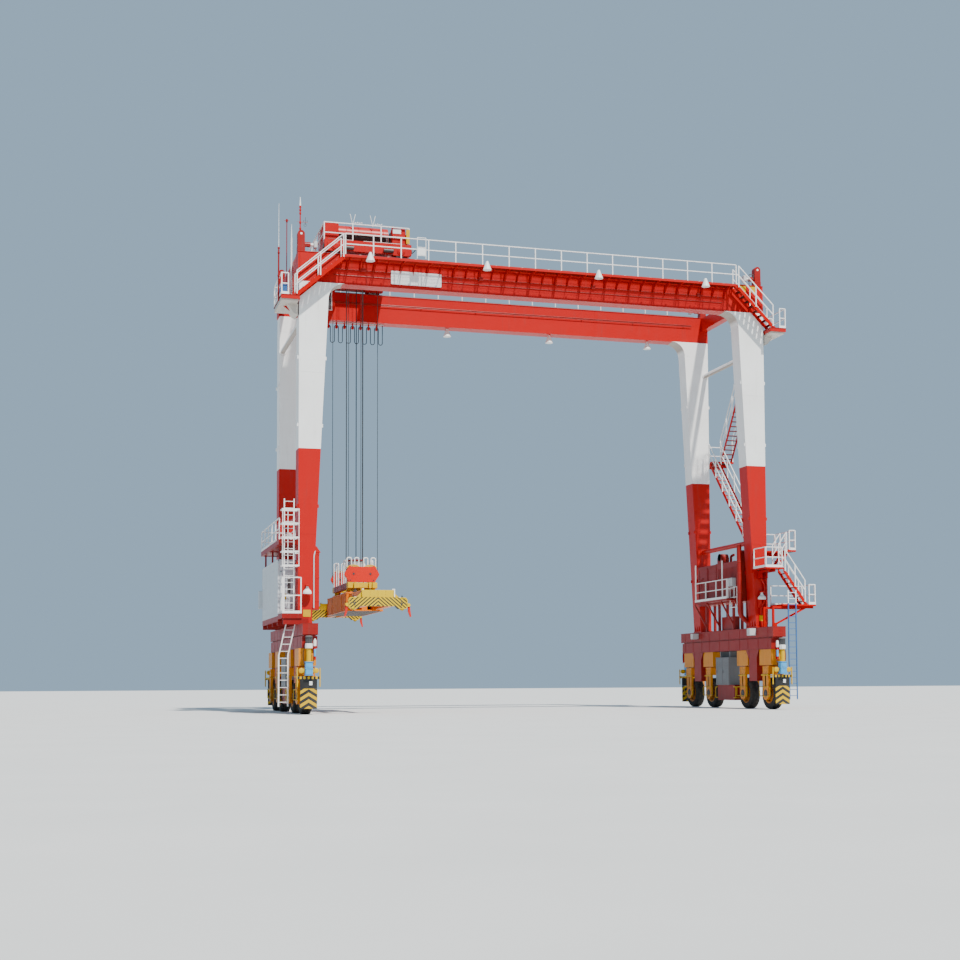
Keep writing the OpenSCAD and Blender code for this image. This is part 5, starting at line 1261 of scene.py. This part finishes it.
def makeLegTrim():
    sillTop = legTrim["foot"][1]
    upper, lower = shape(), shape()
    for s, e in mirrored([upper, lower], atPortal, sides, sides):
        for z in legTrim["lugs"]:
            m = upper if z > whiteFrom else lower
            for y in (3.06, 3.86):
                box(m, (11.95, y, z), (12.02, y + 0.03, z + 0.16), 0.004)
                x = legInner(z)
                box(m, (x - 0.06, y, z), (x + 0.02, y + 0.03, z + 0.16), 0.004)
        for z in (8.35, 16.0):
            m = upper if z > whiteFrom else lower
            box(m, (legInner(z) - 0.006, 3.029, z), (11.956, 3.941, z + 0.016), 0.002)
        for y in (3.2, 3.485, 3.77):
            slab(lower, [(11.95, sillTop), (12.005, sillTop), (11.95, 4.52)], y - 0.012, y + 0.012)
            slab(lower, [(11.31, sillTop), (11.25, sillTop), (legInner(4.52), 4.52)], y - 0.012, y + 0.012)
        for x in (11.42, 11.63, 11.84):
            slab(lower, [(3.935, sillTop), (3.99, sillTop), (3.935, 4.5)], x - 0.012, x + 0.012, "x")
        box(lower, (11.28, 2.97, 4.181), (11.98, 3.0, 4.2), 0.004)
        box(upper, (10.5, 3.03, 19.5), (11.94, 3.05, 19.52), 0.003)
    makePiece(upper, "legLugs", "portal", "legWhite")
    makePiece(lower, "legFeet", "portal", "craneRed")
    m = shape(atPortal(-1, -1))
    box(m, (10.96, 3.60, 4.82), (11.26, 3.90, 7.55), 0.03)
    slab(m, [(11.26, 7.5), (10.9, 7.5), (11.08, 7.78), (11.16, 7.8)], 3.58, 3.92)
    for z in (5.2, 6.3, 7.4):
        box(m, (10.95, 3.59, z), (11.27, 3.91, z + 0.05), 0.005)
    makePiece(m, "leftDuct", "portal", "craneRed")
    m = shape(atPortal())
    hose(m, [(-11.22, -3.96, 4.9), (-11.22, -3.96, 7.3), (-11.15, -3.9, 7.6)], 0.15, 0.03, 10)
    hose(m, [(12.02, -3.8, 4.3), (12.02, -3.8, 7.0), (12.02, -3.2, 7.1), (12.02, -3.2, 12.0)], 0.2, 0.025, 10)
    box(m, (10.93, -3.93, 3.72), (11.301, -3.58, 4.08), 0.02)
    box(m, (10.93, 3.3, 3.75), (11.301, 3.6, 4.05), 0.02)
    box(m, (-11.301, -2.6, 3.7), (-11.0, -2.1, 4.1), 0.02)
    makePiece(m, "sillBoxes", "portal", "zincGrey")
    m = shape(atPortal())
    hose(m, [(11.55, -3.98, 4.75), (11.55, -3.98, 5.2), (11.75, -4.02, 5.45), (11.75, -4.02, 6.3),
             (11.6, -3.98, 6.6)], 0.12, 0.05, 12)
    hose(m, [(11.82, -3.98, 4.6), (11.82, -4.0, 5.3), (11.86, -4.0, 5.5), (11.86, -3.98, 6.9)], 0.08, 0.03,
         10)
    for z in (4.95, 5.9, 6.5):
        box(m, (11.5, -3.99, z), (11.9, -3.93, z + 0.08), 0.01)
    box(m, (11.40, -4.03, 5.15), (11.62, -3.93, 5.7), 0.03)
    for s in sides:
        box(m, (s * 11.62, -4.29, 5.90), (s * 11.48, -3.93, 5.97), 0.01)
        slab(m, [(-3.93, 5.91), (-4.16, 5.91), (-3.93, 5.64)], s * 11.55 - 0.01, s * 11.55 + 0.01, "x")
    makePiece(m, "legFittings", "portal", "craneRed")
    m = shape(atPortal())
    for s in sides:
        turned(m, [(0, 0.20), (0.03, 0.205), (0.09, 0.195), (0.15, 0.165), (0.20, 0.11), (0.23, 0.05),
                   (0.25, 0.03)], (s * 11.55, -4.125, 5.555), (s * 11.55, -4.16, 5.9), 28)
    makePiece(m, "domeLamps", "portal", "lampWhite")
    m = shape()
    for s, e in mirrored([m], atPortal, sides, sides):
        for x in (11.29, 11.995):
            for y in (0.6, 1.9, 2.9, 4.1, 5.2):
                box(m, (x, y, 3.07), (x + 0.012, y + 0.03, 4.02), 0.003)
        box(m, (11.285, 0, 3.60), (12.012, 5.79, 3.625), 0.003)
        box(m, (11.285, 0, 4.098), (12.012, 5.81, 4.122), 0.003)
        box(m, (11.285, 0, 3.0), (12.012, 5.61, 3.024), 0.003)
        for x in (11.29, 11.99):
            slab(m, [(3.04, 2.99), (2.7, 2.99), (3.04, 2.55)], x, x + 0.015, "x")
            slab(m, [(3.93, 2.99), (4.2, 2.99), (3.93, 2.6)], x, x + 0.015, "x")
        for z in (1.6, 2.2, 2.75):
            box(m, (11.292, 3.03, z), (12.008, 3.94, z + 0.03), 0.003)
        for k in range(4):
            bolt(m, (11.45 + 0.12 * k, 5.80, 3.9), (0, 1, 0), 0.016, 0.014)
            bolt(m, (11.45 + 0.12 * k, 5.80, 3.75), (0, 1, 0), 0.016, 0.014)
    makePiece(m, "sillPlates", "portal", "shadeRed")
    m = shape()
    for s, e in mirrored([m], atPortal, sides, sides):
        for x in (11.36, 12.1):
            hose(m, [(x, 1.0, 0.55), (x, 1.27, 0.55), (x, 1.27, 1.12), (x, 1.0, 1.12)], 0.05, 0.022)
        for z in (0.55, 1.12):
            pipe(m, [(11.36, 1.27, z), (12.1, 1.27, z)], 0.022, 8)
    makePiece(m, "wheelGuards", "portal", "guardYellow")


makeLegTrim()
print("leg details ready")

# houses at the legs and the decks
houseTrim = {"x": 12.76, "half": 3.03, "low": 4.57, "top": 7.20, "rows": 8, "step": 0.335,
             "door": (-12.6, -11.8)}


def makeHouseTrim():
    h = houseTrim
    m = shape(atPortal())
    for k in range(h["rows"] - 1):
        z = h["low"] + 0.2 + k * h["step"]
        for n in range(25):
            bolt(m, (-h["x"], -2.9 + n * 0.2416, z), (-1, 0, 0), 0.015, 0.008)
    for y in (-1.5, 0.0, 1.5):
        box(m, (-h["x"] - 0.006, y - 0.03, h["low"] + 0.06), (-h["x"] + 0.004, y + 0.03, h["top"] - 0.06),
            0.002)
    for y in (-h["half"] - 0.012, h["half"] - 0.05):
        box(m, (-h["x"] - 0.012, y, h["low"]), (-h["x"] + 0.05, y + 0.062, h["top"] + 0.01), 0.006)
        box(m, (-11.25, y, h["low"]), (-11.19, y + 0.062, h["top"] + 0.01), 0.006)
    for y in (-h["half"] - 0.012, h["half"] - 0.05):
        box(m, (-h["x"] - 0.012, y, h["top"] - 0.05), (-11.19, y + 0.062, h["top"] + 0.02), 0.006)
    box(m, (-h["x"] - 0.012, -3.04, h["top"] - 0.05), (-h["x"] + 0.05, 3.04, h["top"] + 0.02), 0.006)
    x0, x1 = h["door"]
    for x in (x0 - 0.05, x1 - 0.01):
        box(m, (x, -3.05, 4.62), (x + 0.06, -3.0, 6.68), 0.005)
    box(m, (x0 - 0.05, -3.05, 6.62), (x1 + 0.05, -3.0, 6.68), 0.005)
    for z in (4.95, 5.6, 6.3):
        tube(m, (x0 + 0.005, -3.035, z), (x0 + 0.005, -3.035, z + 0.12), 0.014, 10)
    for k in range(9):
        box(m, (x0 + 0.42, -3.035, 4.78 + k * 0.05), (x1 - 0.1, -3.018, 4.80 + k * 0.05), 0.003)
    box(m, (-11.72, -3.055, 5.4), (-11.42, -3.02, 5.95), 0.01)
    box(m, (-12.95, 3.03, 5.2), (-12.3, 3.22, 6.1), 0.02)
    makePiece(m, "houseTrim", "portal", "panelGrey")
    m = shape(atPortal())
    box(m, (x0 + 0.28, -3.032, 5.62), (x0 + 0.42, -3.015, 6.32), 0.004)
    tube(m, (x1 - 0.12, -3.06, 5.55), (x1 - 0.12, -3.06, 5.72), 0.012, 8)
    tube(m, (x1 - 0.12, -3.02, 5.56), (x1 - 0.12, -3.06, 5.56), 0.009, 8)
    tube(m, (x1 - 0.12, -3.02, 5.71), (x1 - 0.12, -3.06, 5.71), 0.009, 8)
    for k in range(7):
        box(m, (-12.86, 3.222, 5.3 + k * 0.1), (-12.4, 3.23, 5.34 + k * 0.1), 0.003)
    makePiece(m, "doorFittings", "portal", "machineDark")
    m = shape(atPortal())
    box(m, (x0 + 0.08, -3.034, 5.35), (x0 + 0.22, -3.018, 5.62), 0.003)
    makePiece(m, "doorPlate", "portal", "guardYellow")
    m = shape(atPortal())
    for x in (-12.7, -12.2, -11.75):
        hose(m, [(x, -2.9, 4.40), (x, -2.2, 4.34), (x, 2.8, 4.34)], 0.1, 0.03)
    for y in (-2.4, -0.8, 0.9, 2.4):
        hose(m, [(-11.9, y, 4.5), (-11.7, y, 4.3), (-11.5, y, 3.9), (-11.55, y * 0.6, 3.2),
                 (-11.6, y * 0.6, 2.7)], 0.15, 0.028)
    makePiece(m, "houseCables", "portal", "cableSheath")
    m = shape(atPortal())
    for k in range(19):
        y = -2.78 + k * 0.15
        box(m, (10.985, y, 5.95), (11.002, y + 0.09, 7.35), 0.004)
    for y0, y1 in ((0.15, 1.25), (1.35, 2.45)):
        for z in (5.82, 7.5):
            box(m, (10.984, y0, z), (11.002, y1, z + 0.04), 0.004)
        for y in (y0, y1 - 0.04):
            box(m, (10.984, y, 5.82), (11.002, y + 0.04, 7.54), 0.004)
        for z in (6.15, 6.5, 6.85, 7.2):
            box(m, (10.988, y0 + 0.12, z), (11.002, y1 - 0.12, z + 0.05), 0.004)
    for k in range(9):
        x = 11.06 + k * 0.1
        box(m, (x, -2.908, 5.9), (x + 0.05, -2.895, 7.4), 0.003)
    for y in (-2.0, -0.9, 0.2, 1.3, 2.2):
        box(m, (11.0, y, 7.651), (11.98, y + 0.05, 7.68), 0.006)
    for y in (-2.61, -0.17):
        for x in (11.02, 11.455):
            tube(m, (x, y, 7.98), (x + 0.025, y, 7.98), 0.206, 28, cut=0.006)
        for x in (11.03, 11.43):
            box(m, (x, y - 0.256, 7.66), (x + 0.04, y + 0.256, 7.97), 0.005)
        box(m, (11.1, y - 0.262, 7.70), (11.4, y - 0.25, 7.93), 0.004)
    hose(m, [(11.6, -0.4, 7.65), (11.6, -0.4, 8.05), (11.6, -0.75, 8.1)], 0.1, 0.07, 14)
    hose(m, [(10.9, -2.6, 5.75), (10.9, -2.6, 7.5), (10.98, -2.6, 7.6)], 0.1, 0.035, 10)
    hose(m, [(10.92, 2.3, 5.75), (10.92, 2.3, 6.9), (10.98, 1.9, 7.0)], 0.1, 0.03, 10)
    makePiece(m, "engineLouvres", "portal", "shadeRed")
    m = shape(atPortal())
    hose(m, [(11.38, -2.90, 4.13), (11.38, -2.90, 4.42), (10.84, -3.02, 4.78), (10.84, -3.02, 8.36)], 0.25,
         0.125, 18)
    for z in (5.9, 6.9, 7.5):
        tube(m, (10.84, -3.02, z), (10.84, -3.02, z + 0.06), 0.14, 20, cut=0.01)
        bar(m, (10.93, -2.95, z + 0.03), (11.01, -2.88, z + 0.03), 0.05, 0.05)
    tube(m, (10.84, -3.02, 8.36), (10.84, -3.02, 8.42), 0.15, 20, cut=0.02)
    makePiece(m, "engineStack", "portal", "shadeRed")
    m = shape(atPortal())
    box(m, (10.72, -2.32, 6.33), (10.985, -1.68, 6.77), 0.02)
    makePiece(m, "engineBox", "portal", "zincGrey")
    m = shape(atPortal())
    for y in (-2.78, -1.95):
        tube(m, (10.8, y, 5.21), (10.8, y, 6.29), 0.022, 8)
    for z in (5.23, 5.75, 6.27):
        tube(m, (10.8, -2.78, z), (10.8, -1.95, z), 0.02, 8)
    for y in (-1.66, 1.78):
        tube(m, (10.5, y, 5.7), (10.5, y, 7.7), 0.035, 10)
    makePiece(m, "engineRails", "portal", "railWhite")
    m = shape(atPortal())
    for s, e in mirrored([m], atPortal, xs=sides):
        for y0, y1 in ((-0.70, 0.05), (0.10, 0.85)):
            x = 11.65 - 0.42
            box(m, (x - 0.012, y0, 1.3), (x + 0.003, y1, 2.6), 0.004)
            for k in range(6):
                box(m, (x - 0.018, y0 + 0.15, 2.1 + k * 0.06), (x - 0.01, y1 - 0.15, 2.125 + k * 0.06), 0.002)
            box(m, (x - 0.035, y1 - 0.1, 1.85), (x - 0.01, y1 - 0.06, 2.0), 0.004)
            x = 11.65 + 0.42
            box(m, (x - 0.003, y0, 1.3), (x + 0.012, y1, 2.6), 0.004)
            for k in range(6):
                box(m, (x + 0.01, y0 + 0.15, 2.1 + k * 0.06), (x + 0.018, y1 - 0.15, 2.125 + k * 0.06), 0.002)
        box(m, (11.65 - 0.44, -0.77, 2.655), (11.65 + 0.44, 0.92, 2.685), 0.006)
    makePiece(m, "cabinetDoors", "portal", "cabinetGrey")


def edge(m, p, q, z):
    bar(m, (p[0], p[1], z + 0.055), (q[0], q[1], z + 0.055), 0.012, 0.12, 0.002)


def makeDecks():
    m = shape(atPortal())
    for p, q, z in (((13.5, -5.4), (13.9, -5.4), 5.25), ((13.9, -5.4), (13.9, -4.0), 5.25),
                    ((12.1, -4.0), (13.9, -4.0), 5.25),
                    ((11.16, -5.4), (12.1, -5.4), 7.1), ((11.16, -5.4), (11.16, -4.0), 7.1),
                    ((12.9, -4.64), (13.225, -4.64), 8.05),
                    ((13.225, -4.64), (13.225, -2.41), 8.05), ((13.225, 2.65), (13.225, 3.88), 13.6),
                    ((12.0, 3.88), (13.225, 3.88), 13.6),
                    ((12.51, -4.64), (12.88, -4.64), 19.45), ((12.88, -4.64), (12.88, -2.6), 19.45),
                    ((13.225, -2.6), (13.225, -1.31), 19.45),
                    ((-12.88, -4.64), (-12.51, -4.64), 19.45), ((-12.88, -4.64), (-12.88, -1.9), 19.45),
                    ((-12.88, -1.9), (-12.0, -1.9), 19.45),
                    ((-12.75, -4.49), (-11.86, -4.49), 4.63), ((-12.75, -4.49), (-12.75, -3.95), 4.63),
                    ((10.485, -2.19), (10.485, 1.89), 5.7),
                    ((-12.84, -2.99), (-12.84, 2.99), 8.08), ((-11.31, -2.99), (-11.31, 2.99), 8.08)):
        edge(m, p, q, z)
    makePiece(m, "kickPlates", "portal", "railWhite")
    m = shape(atPortal())
    flights = [((13.44, -5.08, 5.25), (12.14, -5.08, 7.1)), ((12.1, -4.32, 7.1), (12.76, -4.32, 8.05)),
               ((12.08, -2.65, 8.05), (12.08, 2.6, 13.6)), ((12.85, 2.85, 13.6), (12.85, -1.3, 19.45)),
               ((12.305, -4.32, 19.45), (10.2, -4.32, 21.55)),
               ((-12.305, -4.32, 19.45), (-9.9, -4.32, 21.55))]
    for a, b in flights:
        a, b = Vector(a), Vector(b)
        flat = Vector((b.x - a.x, b.y - a.y, 0))
        count = round((b.z - a.z) / 0.23)
        ahead = flat.normalized()
        side = Vector((-ahead.y, ahead.x, 0))
        turn = Matrix((ahead, side, Vector((0, 0, 1)))).transposed().to_4x4()
        for k in range(1, count):
            spot = a + flat * k / count + Vector((0, 0, (b.z - a.z) * k / count))
            box(m, (-0.112, -0.285, -0.061), (-0.07, 0.285, -0.052), 0.002, Matrix.Translation(spot) @ turn)
            box(m, (-0.07, -0.285, -0.061), (0.09, 0.285, -0.056), 0.002, Matrix.Translation(spot) @ turn)
    makePiece(m, "treadPlates", "portal", "zincGrey")
    m = shape(atPortal())
    for y in (-2.6, 0.0, 2.6):
        bar(m, (-12.77, y, 7.86), (-11.37, y, 7.86), 0.05, 0.08)
    for x in (-12.78, -11.4):
        box(m, (x, -2.95, 7.84), (x + 0.04, 2.95, 8.085), 0.004)
    bar(m, (-11.3, -2.9, 7.2), (-11.3, -2.9, 7.9), 0.06, 0.06)
    makePiece(m, "roofBeams", "portal", "shadeRed")


makeHouseTrim()
makeDecks()
print("houses and decks ready")

# trolley: machinery, plates, aerials, carriages and cabin
trolleyTrim = {"drumY": 2.3443, "drumZ": 23.12, "deck": 22.44}


def makeTrolleyTrim():
    axleZ = 22.175
    y, z, deck = trolleyTrim["drumY"], trolleyTrim["drumZ"], trolleyTrim["deck"]
    m = shape()
    for s, e in mirrored([m], atTrolley, ys=sides):
        profile = []
        for k in range(61):
            x = -1.02 + 2.04 * k / 60
            profile.append((x, 0.334 if k % 2 else 0.345))
        turned(m, profile, (0, y, z), (1, y, z), 28)
    makePiece(m, "drumRopes", "trolley", "ropeSteel")
    m = shape()
    for s, e in mirrored([m], atTrolley, ys=sides):
        for x in (-1.11, 1.05):
            turned(m, [(0, 0.36), (0.01, 0.40), (0.05, 0.40), (0.06, 0.36)], (x, y, z), (x + 1, y, z), 32)
            boltRing(m, (x + (0.06 if x > 0 else 0.0), y, z), (1 if x > 0 else -1, 0, 0), 0.28, 10, 0.018,
                     0.016)
        turned(m, [(0, 0.30), (0.03, 0.32), (0.06, 0.32), (0.09, 0.30)], (1.56, y, deck + 0.26),
               (2.1, y, deck + 0.26), 28)
        for k in range(18):
            a = 2 * math.pi * k / 18
            bar(m, (1.62, y + 0.18 * math.cos(a), deck + 0.26 + 0.18 * math.sin(a)),
                (1.98, y + 0.18 * math.cos(a), deck + 0.26 + 0.18 * math.sin(a)), 0.012, 0.012, 0.001)
        turned(m, [(0, 0.19), (0.02, 0.20), (0.08, 0.19), (0.09, 0.05)], (1.97, y, deck + 0.26),
               (3, y, deck + 0.26), 24)
    makePiece(m, "hoistMotors", "trolley", "zincGrey")
    m = shape()
    for s, e in mirrored([m], atTrolley, ys=sides):
        box(m, (1.265, y - 0.31, deck + 0.3), (1.545, y + 0.31, deck + 0.34), 0.01)
        for x in (-1.28, 1.135):
            turned(m, [(0, 0.14), (0.02, 0.15), (0.03, 0.06)], (x if x < 0 else x + 0.145, y, z),
                   (x - 1 if x < 0 else x + 2, y, z), 20)
        for x in (-0.9, -0.3, 0.3, 0.9):
            arc = [(x, y + 0.463 * math.cos(a), z + 0.463 * math.sin(a)) for a in fan(0.02 * math.pi,
                                                                                      0.98 * math.pi, 14)]
            pipe(m, arc, 0.012, 6)
        for d in (-1, 1):
            box(m, (-1.29, y + d * 0.447, z - 0.06), (1.15, y + d * 0.462, z + 0.01), 0.004)
    makePiece(m, "coverRibs", "trolley", "craneRed")
    m = shape(atTrolley())
    box(m, (-1.49, -3.302, 22.49), (-0.67, -3.289, 22.64), 0.004)
    box(m, (-0.17, -3.302, 22.49), (1.71, -3.289, 22.64), 0.004)
    box(m, (1.28, -3.235, 23.15), (1.68, -3.222, 23.38), 0.004)
    box(m, (-1.9, 3.289, 22.49), (1.9, 3.302, 22.60), 0.004)
    for x in (-0.62, 0.36):
        for lean in (-0.13, 0.13):
            tube(m, (x, -2.86, 23.5), (x + lean, -2.86, 24.06), 0.016, 8)
        bar(m, (x + 0.02, -2.86, 23.645), (x + 0.48, -2.86, 23.645), 0.012, 0.012, 0.001)
        for k in range(4):
            box(m, (x + 0.10 * k + 0.12, -2.87, 23.60 + 0.03 * (k % 2)),
                (x + 0.16 + 0.10 * k, -2.85, 23.66 + 0.03 * (k % 2)), 0.004)
    makePiece(m, "trolleyPlates", "trolley", "lampWhite")
    m = shape(atTrolley())
    box(m, (1.25, -3.22, deck + 0.003), (1.55, -2.82, 23.42), 0.02)
    box(m, (1.54, -3.20, 23.13), (1.9, -2.85, 23.42), 0.02)
    for x in (-1.95, -1.36):
        for zz in (22.7, 23.1, 23.45):
            box(m, (x, -2.912, zz), (x + 0.03, -2.898, zz + 0.09), 0.003)
    for zz in (22.62, 22.86, 23.1, 23.34):
        box(m, (-2.022, -2.7, zz), (-2.008, -1.3, zz + 0.12), 0.004)
    box(m, (-2.03, -2.92, 23.545), (-1.29, -1.08, 23.575), 0.008)
    tube(m, (1.3, -3.0, 23.41), (1.3, -3.0, 23.56), 0.05, 16, 0.035)
    makePiece(m, "trolleyBoxes", "trolley", "craneRed")
    m = shape(atTrolley())
    box(m, (1.92, -3.33, 22.66), (2.09, -3.289, 23.36), 0.004)
    makePiece(m, "endPanel", "trolley", "guardYellow")
    red, dark = shape(), shape()
    for s, e in mirrored([red, dark], atTrolley, sides, sides):
        box(red, (1.2, 3.31, 21.94), (1.98, 3.33, 22.36), 0.01)
        box(red, (1.2, 3.64, 21.94), (1.98, 3.66, 22.36), 0.01)
        turned(red, [(0, 0.20), (0.03, 0.20), (0.05, 0.12), (0.07, 0.12)], (1.59, 3.655, axleZ),
               (1.59, 5, axleZ), 24)
        turned(red, [(0, 0.20), (0.03, 0.20), (0.05, 0.12), (0.07, 0.12)], (1.59, 3.315, axleZ),
               (1.59, 2, axleZ), 24)
        boltRing(dark, (1.59, 3.685, axleZ), (0, 1, 0), 0.155, 6, 0.015, 0.012)
        box(dark, (2.10, 3.39, 22.1), (2.16, 3.58, 22.3), 0.02)
        box(dark, (1.2, 3.16, 22.439), (1.9, 3.28, 22.66), 0.02)
        tube(dark, (0.72, 3.74, 22.12), (1.21, 3.74, 22.12), 0.09, 16, cut=0.015)
        tube(red, (0.2, 3.485, 22.2), (1.45, 3.485, 22.2), 0.07, 14)
    makePiece(red, "carriagePlates", "trolley", "craneRed")
    makePiece(dark, "carriageFittings", "trolley", "machineDark")
    m = shape(atTrolley())
    for k, x in enumerate((-1.6, -1.1, -0.5, 0.2, 0.8, 1.4, 1.9)):
        hose(m, [(x, -3.25, 22.46), (x + 0.05, -3.30, 22.3 - 0.04 * (k % 3)), (x + 0.3, -3.30, 22.18),
                 (x + 0.5, -3.27, 22.42)], 0.12, 0.022)
    hose(m, [(0.75, -1.85, 22.46), (0.75, -1.75, 22.9), (0.95, -1.6, 22.6), (1.1, -1.4, 22.46)], 0.15, 0.026)
    makePiece(m, "trolleyCables", "trolley", "cableSheath")
    m = shape(atTrolley())
    for s, e in mirrored([m], atTrolley, ys=sides):
        box(m, (-0.6, 0.66, deck), (0.5, 0.96, deck + 0.5), 0.02)
        tube(m, (-0.9, 0.82, deck + 0.2), (-0.59, 0.82, deck + 0.2), 0.13, 18, cut=0.02)
    for x in (-1.85, 1.5):
        box(m, (x, 1.2, deck + 0.002), (x + 0.32, 2.6, deck + 0.65), 0.02)
    makePiece(m, "deckMachines", "trolley", "machineDark")


def makeCabinTrim():
    x0, x1, y, z0, z1 = -2.80, -1.15, 0.9, 18.85, 20.95
    m = shape(atTrolley())
    for e in sides:
        for x in (x0 + 0.17, x0 + 0.95, x1 - 0.18):
            box(m, (x, e * (y - 0.004), z0 + 0.94), (x + 0.035, e * (y + 0.012), z1 - 0.14), 0.004)
        for z in (z0 + 0.92, z1 - 0.16):
            box(m, (x0 + 0.15, e * (y - 0.004), z), (x1 - 0.13, e * (y + 0.012), z + 0.035), 0.004)
        box(m, (x0, e * (y - 0.001), z0), (x1 - 0.38, e * (y + 0.01), z0 + 0.08), 0.004)
    for yy in (-0.80, -0.02, 0.77):
        box(m, (x1 - 0.004, yy, z0 + 1.06), (x1 + 0.014, yy + 0.035, z1 - 0.14), 0.004)
    for z in (z0 + 1.05, z1 - 0.16):
        box(m, (x1 - 0.004, -0.8, z), (x1 + 0.014, 0.8, z + 0.035), 0.004)
    box(m, (x0 - 0.03, -y - 0.03, z1 - 0.002), (x1 + 0.05, y + 0.03, z1 + 0.0002), 0.0001)
    box(m, (x0 + 0.3, -0.45, z1 + 0.001), (x0 + 1.05, 0.45, z1 + 0.3), 0.02)
    for yy in (-0.7, 0.7):
        for x in (-2.02, -1.11):
            slab(m, [(x - 0.16, z1 + 0.001), (x + 0.16, z1 + 0.001), (x + 0.06, z1 + 0.3),
                     (x - 0.06, z1 + 0.3)], yy - 0.012, yy + 0.012)
    makePiece(m, "cabinFrames", "trolley", "railWhite")
    m = shape(atTrolley())
    box(m, (-2.25, -0.25, z0 + 0.45), (-1.80, 0.25, z0 + 0.58), 0.03)
    box(m, (-2.32, -0.24, z0 + 0.55), (-2.20, 0.24, z0 + 1.2), 0.04)
    box(m, (-2.12, -0.1, z0 + 0.061), (-1.95, 0.1, z0 + 0.46), 0.02)
    for e in sides:
        box(m, (-2.15, e * 0.30, z0 + 0.061), (-1.75, e * 0.50, z0 + 0.75), 0.02)
        tube(m, (-1.85, e * 0.40, z0 + 0.75), (-1.83, e * 0.40, z0 + 0.93), 0.018, 10)
    makePiece(m, "driverSeat", "trolley", "flapBlack")


makeTrolleyTrim()
makeCabinTrim()
print("trolley details ready")

floor = shape()
put(floor, [(-300, -300, 0), (300, -300, 0), (300, 300, 0), (-300, 300, 0)], [(0, 1, 2, 3)])
floorData = bpy.data.meshes.new("paleFloor")
floorData.from_pydata(floor["verts"], [], floor["faces"])
floorObj = bpy.data.objects.new("paleFloor", floorData)
floorTree = newPaint("paleConcrete")
spread = noise(floorTree, place(floorTree), 0.4, 5)
floorShade = mixColour(floorTree, spread, (0.60, 0.60, 0.59), (0.68, 0.68, 0.67))
floorTree.links.new(floorShade, floorTree.nodes["Principled BSDF"].inputs["Base Color"])
floorTree.nodes["Principled BSDF"].inputs["Roughness"].default_value = 0.9
floorData.materials.append(paints["paleConcrete"])
bpy.context.scene.collection.objects.link(floorObj)
